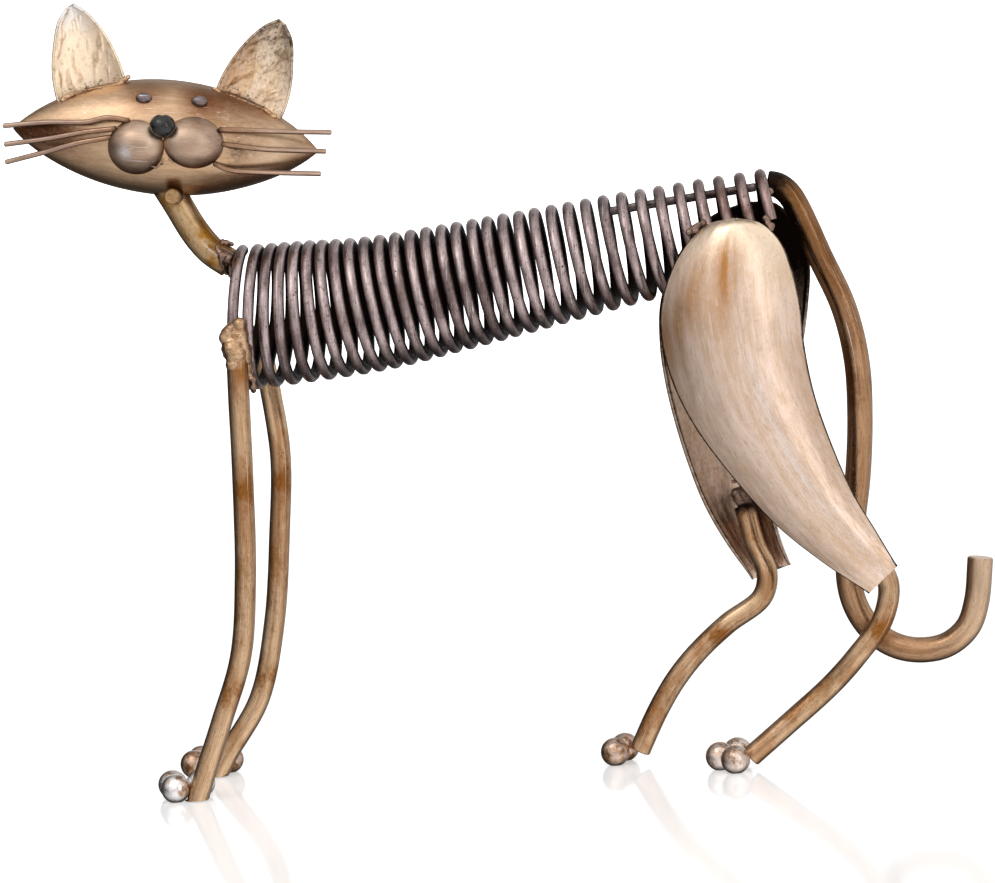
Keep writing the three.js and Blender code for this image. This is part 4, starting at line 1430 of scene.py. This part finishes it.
@dataclass
class Haunch:
    """One of the two domed leaves over the hind legs."""

    name: str
    side: int
    ahead: list[tuple[float, float]]
    behind: list[tuple[float, float]]
    trunk: Trunk
    rods: Rods
    cup: float = 8.6
    sheet: float = 1.4
    rim_clearance: float = 0.7

    def rim(self, x: float) -> float:
        """Gives the sideways distance of the leaf's rim from the cat's middle."""
        length = self.trunk.advance(self.trunk.turns)
        share = min(1.0, max(0.0, (DATUM.last_turn + x - DATUM.first_turn) / length))
        widest = max(self.trunk.radius(share), self.rods.rear_track + self.rods.leg / 2)
        return widest + self.rim_clearance + self.sheet

    def edge(self, points: list[tuple[float, float]]) -> Route:
        """Makes one edge of the leaf."""
        return route([DATUM.rear(x, self.side * self.rim(x), z) for x, z in points])

    def dome(self, u: np.ndarray, v: np.ndarray) -> np.ndarray:
        """Domes the leaf away from the cat."""
        fall = np.sin(math.pi * np.clip(u, 0, 1) ** 0.8).clip(0) ** 0.7
        return self.side * self.cup * fall * (1 - v * v) * (0.6 + 0.4 * smooth(u, 0, 0.12))

    def relief(self, u: np.ndarray, v: np.ndarray) -> np.ndarray:
        """Gives the leaf its soft crease and the unevenness of a beaten sheet."""
        forward = v * self.side
        crease = -0.3 * np.exp(-(((forward - 0.22 + 0.5 * (u - 0.7)) / 0.2) ** 2)) * smooth(u, 0.35, 0.75)
        beaten = ripple(np.column_stack([u * 9, v * 3, np.full_like(u, self.side * 3.0)]), (1, 1, 1))
        return (crease + 0.12 * beaten) * np.clip((1 - v * v) * 4, 0, 1)

    def masks(self, p: np.ndarray, u: np.ndarray, v: np.ndarray, inside: np.ndarray) -> dict[str, np.ndarray]:
        """Paints the tan blotches, a pale band down the middle and a pale top as painted highlight, and
        painted shade inside, darkest at the top.
        """
        forward = v * self.side
        edge = smooth(np.abs(v), 0.955, 1.0)
        tan = sum(
            weight * np.exp(-(((u - down) / tall) ** 2 + ((forward - across) / wide) ** 2))
            for weight, down, across, tall, wide in (
                (1.5, 0.39, -0.95, 0.1, 0.3),
                (1.1, 0.3, -0.55, 0.09, 0.2),
                (1.5, 0.25, 0.02, 0.12, 0.2),
                (0.7, 0.42, -0.15, 0.16, 0.26),
                (0.5, 0.2, -0.3, 0.08, 0.4),
            )
        )
        tan += 0.55 * smooth(u, 0.4, 0.7) * smooth(-forward, 0.4, 1.0)
        tan += 0.6 * smooth(u, 0.35, 0.55) * smooth(forward, 0.35, 0.8) * smooth(-u, -0.95, -0.75)
        lines = np.column_stack([u * 2.2, forward * 9, np.full_like(u, 6.0)])
        strokes = np.array([noise.noise(Vector(q)) for q in lines])
        tan *= 0.75 + 0.5 * strokes
        # band, top and lit are painted highlight; deep is painted shade on the inside, darkest at the top.
        band = smooth(-np.abs(forward - 0.15 - 0.3 * (u - 0.5)), -0.55, 0) * smooth(u, 0.3, 0.6)
        top = smooth(-u, -0.3, -0.05)
        deep = inside * (0.3 + 0.8 * smooth(-u, -0.5, -0.2))
        lit = 0.9 * top + 0.5 * smooth(forward, 0.3, 0.8) * smooth(-u, -0.5, -0.2)
        rim = 0.85 if self.side < 0 else 0.45 + 0.6 * smooth(-u, -0.5, -0.25)
        return {
            "tint": np.clip(0.55 * tan * (1 - inside) + 0.3 * inside, 0, 1),
            "bright": np.clip(0.25 * band + 0.2 * smooth(strokes, 0.0, 0.5), 0, 1) * (1 - inside),
            "pale": np.clip(lit, 0, 1) * (1 - inside),
            "soot_and_shade": np.clip(rim * edge + deep, 0, 1),
        }

    def build(self) -> None:
        """Builds the leaf."""
        edges = (self.edge(self.behind), self.edge(self.ahead))
        first, second = edges if self.side < 0 else edges[::-1]
        leaf = Leaf(first, second, self.dome, self.sheet, self.relief, self.masks, 170, 64)
        leaf.skin().piece(f"haunch_leaf_{self.name}", Finish.HAUNCH, [f"haunch_{self.name}"], 60)


# Toes


@dataclass
class Toes:
    """The balls welded round the foot of each leg, each ground flat underneath."""

    diameter: float = 8.7
    sole: float = 3.4

    def build(self) -> None:
        """Sets one ball at each toe."""
        nodes = sorted(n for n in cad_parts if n.startswith("toe_"))
        height = math.sqrt((self.diameter / 2) ** 2 - (self.sole / 2) ** 2)
        spots = []
        for node in nodes:
            low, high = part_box(node)
            spots.append(((low.x + high.x) / 2 / MM, (low.y + high.y) / 2 / MM, height))
        maker = Maker(
            "toe_balls",
            {
                "Radius": ("NodeSocketFloat", self.diameter / 2 * MM),
                "Floor": ("NodeSocketFloat", 0.0),
                "Seed": ("NodeSocketInt", 5),
                "Finish": ("NodeSocketMaterial", Finish.TOE.made()),
            },
        )
        g = maker.graph
        ball = g.node(
            "GeometryNodeMeshUVSphere", {}, {"Segments": 48, "Rings": 32, "Radius": maker.given("Radius")}
        )
        turned = g.node(
            "FunctionNodeRandomValue",
            {"data_type": "FLOAT_VECTOR"},
            {"Min": (0, 0, 0), "Max": (math.tau, math.tau, math.tau), "Seed": maker.given("Seed")},
        )
        balls = g.node(
            "GeometryNodeInstanceOnPoints",
            {},
            {"Points": maker.given("Geometry"), "Instance": ball, "Rotation": turned},
        )
        real = g.node("GeometryNodeRealizeInstances", {}, {"Geometry": balls})
        place = g.node("GeometryNodeInputPosition")
        parts = g.node("ShaderNodeSeparateXYZ", {}, {"Vector": place})
        x, y, z = (Term(g, parts.socket.node.outputs[k]) for k in range(3))
        above = z.function("MAXIMUM", maker.given("Floor"))
        stood = g.node("ShaderNodeCombineXYZ", {}, {"X": x, "Y": y, "Z": above})
        ground = g.node("GeometryNodeSetPosition", {}, {"Geometry": real, "Position": stood})
        made = maker.run("toe_balls", points_mesh("toe_start", [[spot] for spot in spots]), ground)
        self.paint(made.data)
        placed(made, Finish.TOE, nodes)

    def paint(self, mesh: bpy.types.Mesh) -> None:
        """Browns the far feet as painted shade and lets the near feet go silver as painted highlight, the
        front one most.
        """
        count = len(mesh.vertices)
        place = np.zeros(count * 3, np.float32)
        mesh.vertices.foreach_get("co", place)
        p = place.reshape(-1, 3) / MM
        # far is painted shade on the far feet; the silver on the near feet is painted highlight.
        far = smooth(p[:, 1], -6, 2)
        spots = np.clip(ripple(p, (0.3, 0.3, 0.3), 1.0) * 1.8, 0, 1)
        masks = {
            "tint": np.clip(0.4 * far + 0.5 * spots, 0, 1),
            "soot_and_shade": np.clip(0.6 * spots - 0.15, 0, 1),
            "bright": np.clip((1 - far) * np.where(p[:, 0] < 0, 0.85, 0.4) - spots, 0, 1),
        }
        for name, values in masks.items():
            mesh.attributes.new(name, "FLOAT", "POINT").data.foreach_set("value", values.astype(np.float32))
        mesh.attributes.new("grain", "FLOAT_VECTOR", "POINT").data.foreach_set("vector", p.ravel())


# Welds


@dataclass
class Welds:
    """Every weld that shows."""

    head: Head

    def build(self) -> None:
        """Lays the golden welds and the burnt ones."""
        m = DATUM.middle
        seat = self.head.place
        golden = [
            (seat([(-31.5, -3.4, 9.6), (-28.5, -3.4, 11.4)]), 0.95),
            (seat([(-28, -3.2, 12.0), (-21, -3.4, 14.0), (-14.5, -3.2, 15.8)]), 0.6),
            (seat([(-15.0, -2.8, 15.6), (-12.6, -2.4, 17.8)]), 0.95),
            (seat([(13.4, -2.8, 16.2), (14.8, -3.0, 15.6)]), 0.95),
            (seat([(15, -3.2, 15.6), (22, -3.4, 13.6), (29, -3.2, 11.2)]), 0.5),
            (seat([(29.5, -3.2, 10.6), (32.6, -2.8, 8.8)]), 0.9),
            ([(-74.6, m - 26.6, 140.4), (-74.2, m - 27.0, 136), (-73.9, m - 26.6, 130.5)], 3.1),
            ([(-72.4, m - 25.8, 141.6), (-72.0, m - 25.6, 137), (-71.8, m - 25.4, 132)], 2.4),
            ([(-76.4, m - 25.8, 139.8), (-76.0, m - 26.2, 134)], 2.3),
            ([(-71.2, m - 25.0, 134), (-71.0, m - 24.2, 126)], 1.3),
        ]
        burnt = [
            ([(-75.5, m + 22.6, 137), (-75.0, m + 22.8, 131)], 2.0),
            ([(-71.0, m - 22.6, 131), (-70.2, m - 22.2, 122)], 1.3),
            ([(-79.4, m - 3.8, 161.6), (-78.2, m - 4.2, 160.6)], 2.2),
            ([(-81.4, m - 3.6, 164.6), (-80.6, m - 4.6, 162.0), (-79.8, m - 4.6, 158.4),
              (-78.8, m - 3.2, 156.0)], 0.9),
            ([(-80.2, m - 1.6, 165.6), (-77.6, m - 0.5, 165.0)], 1.2),
            ([(-78.4, m - 1.0, 158.0), (-77.2, m - 1.0, 156.0)], 2.2),
            ([(61.2, m - 17.4, 161.0), (63.6, m - 17.6, 162.4), (66.0, m - 17.6, 164.0)], 1.3),
            ([(84.0, m - 15.8, 163.6), (85.8, m - 16.2, 161.0)], 1.3),
            ([(84.0, m - 1.5, 174.0), (84.8, m - 2.6, 171.6)], 1.5),
            ([(69.6, m + 17.8, 80.0), (70.2, m + 17.6, 78.2), (70.8, m + 17.2, 76.6)], 2.5),
            ([(68.0, m + 17.6, 83.4), (68.6, m + 17.6, 83.4)], 0.9),
            (seat([(0.2, -15.6, -6.6), (-1.6, -15.0, -8.0), (-3.2, -14.8, -7.6)]), 0.6),
            (seat([(2.0, -15.6, -5.2), (3.2, -15.2, -6.4)]), 0.5),
            (seat([(18.6, -12.9, 5.0), (23, -12.6, 4.6)]), 0.42),
            (seat([(18.4, -13.0, -0.6), (23, -12.4, -1.2)]), 0.42),
            (seat([(15.2, -13.2, -5.6), (16.6, -13.0, -6.4)]), 0.6),
        ]
        WeldSet("golden_welds", Finish.WELD, [p for p, _ in golden], [s for _, s in golden], 3).build()
        WeldSet("burnt_welds", Finish.DARK_WELD, [p for p, _ in burnt], [s for _, s in burnt], 8).build()


# Studio


@dataclass
class Studio:
    """The pale floor, the soft lights and the camera at the photograph's angle."""

    azimuth: float = 6.3
    elevation: float = 5.0
    roll: float = 3.6
    distance: float = 1.5
    target: Point = (-0.932, -4.487, 101.0)
    lens: float = 36 * 5000 / 995

    def build(self) -> None:
        """Sets the floor, the lights and the camera."""
        self.build_floor()
        self.build_lights()
        self.build_world()
        self.build_camera()

    def build_floor(self) -> None:
        """Lays a pale floor that curves up far behind."""
        steps = [(-4.0, 0.0), (-1.0, 0.0), (9.0, 0.0)]
        turn = np.linspace(0.05, math.pi / 2, 16)
        steps += [(9 + 1.2 * math.sin(t), 1.2 - 1.2 * math.cos(t)) for t in turn]
        steps += [(10.2, 5.0)]
        points = [(x, y, z) for y, z in steps for x in (-6.0, 6.0)]
        faces = [(2 * i, 2 * i + 1, 2 * i + 3, 2 * i + 2) for i in range(len(steps) - 1)]
        mesh = bpy.data.meshes.new("floor")
        mesh.from_pydata(points, [], faces)
        mesh.shade_smooth()
        material = bpy.data.materials.new("pale_floor")
        material.use_nodes = True
        material.node_tree.nodes.clear()
        g = Graph(material.node_tree)
        spot = g.node("ShaderNodeTexCoord", output="Object")
        away = g.node("ShaderNodeSeparateXYZ", {}, {"Vector": spot}, output="Y")
        glow = g.blend(g.ramp(away, 0.5, 3.0), (0.42, 0.42, 0.42, 1), (1.1, 1.1, 1.1, 1))
        shader = g.node(
            "ShaderNodeBsdfPrincipled",
            {},
            {
                "Base Color": (0.5, 0.5, 0.5, 1),
                "Roughness": 0.1,
                "Specular IOR Level": 0.25,
                "Emission Color": glow,
                "Emission Strength": 1.0,
            },
        )
        g.node("ShaderNodeOutputMaterial", {}, {"Surface": shader})
        mesh.materials.append(material)
        floor = bpy.data.objects.new("floor", mesh)
        bpy.context.scene.collection.objects.link(floor)
        floor.visible_glossy = False
        self.build_card()

    def build_card(self) -> None:
        """Stands a white card far behind, which only the floor's gloss mirrors."""
        mesh = bpy.data.meshes.new("white_card")
        corners = [(-2.6, 8.5, 0), (2.6, 8.5, 0), (2.6, 8.5, 3.6), (-2.6, 8.5, 3.6)]
        mesh.from_pydata(corners, [], [(0, 1, 2, 3)])
        material = bpy.data.materials.new("lit_card")
        material.use_nodes = True
        material.node_tree.nodes.clear()
        g = Graph(material.node_tree)
        glow = g.node("ShaderNodeEmission", {}, {"Color": (1, 1, 1, 1), "Strength": 1.0})
        g.node("ShaderNodeOutputMaterial", {}, {"Surface": glow})
        mesh.materials.append(material)
        card = bpy.data.objects.new("white_card", mesh)
        bpy.context.scene.collection.objects.link(card)
        card.visible_camera = card.visible_diffuse = card.visible_shadow = False

    def light(
        self,
        name: str,
        place: Point,
        size: tuple[float, float],
        power: float,
        tint: Colour = (1, 1, 1, 1),
    ) -> None:
        """Hangs one softbox that faces the cat.

        Args:
            name: The light's name.
            place: Where it hangs, in metres.
            size: Its width and height in metres.
            power: Its power in watts.
            tint: Its colour.
        """
        data = bpy.data.lights.new(name, "AREA")
        data.shape = "RECTANGLE"
        data.size, data.size_y = size
        data.energy = power
        data.color = tint[:3]
        lamp = bpy.data.objects.new(name, data)
        lamp.location = place
        lamp.rotation_euler = (Vector((0, 0, 0.11)) - Vector(place)).to_track_quat("-Z", "Y").to_euler()
        bpy.context.scene.collection.objects.link(lamp)

    def build_lights(self) -> None:
        """Hangs the softboxes."""
        self.light("upper_left", (-0.75, -1.1, 1.65), (1.1, 0.9), 6)
        self.light("front_right", (1.25, -1.35, 0.55), (0.6, 1.1), 3)

    def build_world(self) -> None:
        """Surrounds the cat with soft light that is brighter above and in front."""
        world = bpy.data.worlds.new("studio")
        world.use_nodes = True
        world.node_tree.nodes.clear()
        g = Graph(world.node_tree)
        way = g.node("ShaderNodeTexCoord", output="Generated")
        parts = g.node("ShaderNodeSeparateXYZ", {}, {"Vector": way})
        y, z = (Term(g, parts.socket.node.outputs[k]) for k in (1, 2))
        strength = g.ramp(z, 0.1, -0.7) * g.ramp(y, 0.55, -0.35) * 0.75 + 0.05
        for aim, start, power in (
            ((0.67, -0.71, 0.2), -0.5, 0.95),
            ((-0.38, -0.5, 0.78), 0.3, 0.95),
            ((0.5, 0.75, 0.43), 0.3, 0.55),
        ):
            strength += g.ramp(g.vector("DOT_PRODUCT", way, aim, output="Value"), start, 0.95) * power
        background = g.node("ShaderNodeBackground", {}, {"Color": (1, 1, 1, 1), "Strength": strength})
        g.node("ShaderNodeOutputWorld", {}, {"Surface": background})
        bpy.context.scene.world = world

    def build_camera(self) -> None:
        """Sets the camera where the photograph was taken from."""
        a, e, r = (math.radians(v) for v in (self.azimuth, self.elevation, self.roll))
        back = Vector((math.sin(a) * math.cos(e), -math.cos(a) * math.cos(e), math.sin(e)))
        right = Vector((math.cos(a), math.sin(a), 0))
        up = back.cross(right)
        right, up = right * math.cos(r) - up * math.sin(r), right * math.sin(r) + up * math.cos(r)
        data = bpy.data.cameras.new("camera")
        data.sensor_fit = "HORIZONTAL"
        data.sensor_width = 36
        data.lens = self.lens
        data.clip_end = 50
        camera = bpy.data.objects.new("camera", data)
        place = Vector(self.target) * MM + back * self.distance
        camera.matrix_world = Matrix.Translation(place) @ Matrix((right, up, back)).transposed().to_4x4()
        bpy.context.scene.collection.objects.link(camera)
        bpy.context.scene.camera = camera
        bpy.context.scene.view_settings.view_transform = "Standard"


NEAR_AHEAD = [
    (-9.8, 164.6), (-17.6, 163), (-26.6, 153.5), (-31.9, 140.5), (-32.5, 130), (-29.9, 117),
    (-24.6, 104.5), (-15.6, 90.5), (-2.1, 73.5), (11.9, 61), (24.3, 51.9),
]
NEAR_BEHIND = [
    (-8.4, 164.6), (-1.6, 162.8), (3.9, 157), (7.2, 147), (8.8, 137), (9.1, 127), (11.1, 112.5),
    (14.9, 98.5), (20.9, 82), (27.4, 69.5), (32.6, 59.2),
]
FAR_AHEAD = [
    (-8.4, 167.6), (-19, 163.5), (-29, 152.5), (-34.7, 140), (-35.9, 127), (-35.0, 115),
    (-32.8, 102.5), (-29.4, 89), (-25.2, 76.5), (-19.1, 64.5), (-11.8, 53.6),
]
FAR_BEHIND = [
    (-6.6, 167.8), (1.4, 166.8), (7, 160), (10.4, 149), (9.4, 136), (6.4, 121), (2, 106),
    (-2.6, 90), (-4.7, 78), (-3.3, 67), (-0.6, 57.4),
]


def main() -> None:
    """Builds the cat, then the studio."""
    logging.basicConfig(level=logging.INFO, format="%(name)s: %(message)s")
    studio = Studio()
    studio.build_camera()
    trunk, rods, head = Trunk(), Rods(), Head()
    for part in (
        trunk,
        rods,
        head,
        Haunch("near", -1, NEAR_AHEAD, NEAR_BEHIND, trunk, rods),
        Haunch("far", 1, FAR_AHEAD, FAR_BEHIND, trunk, rods),
        Toes(),
        Welds(head),
    ):
        part.build()
    studio.build()


if __name__ == "__main__":
    main()
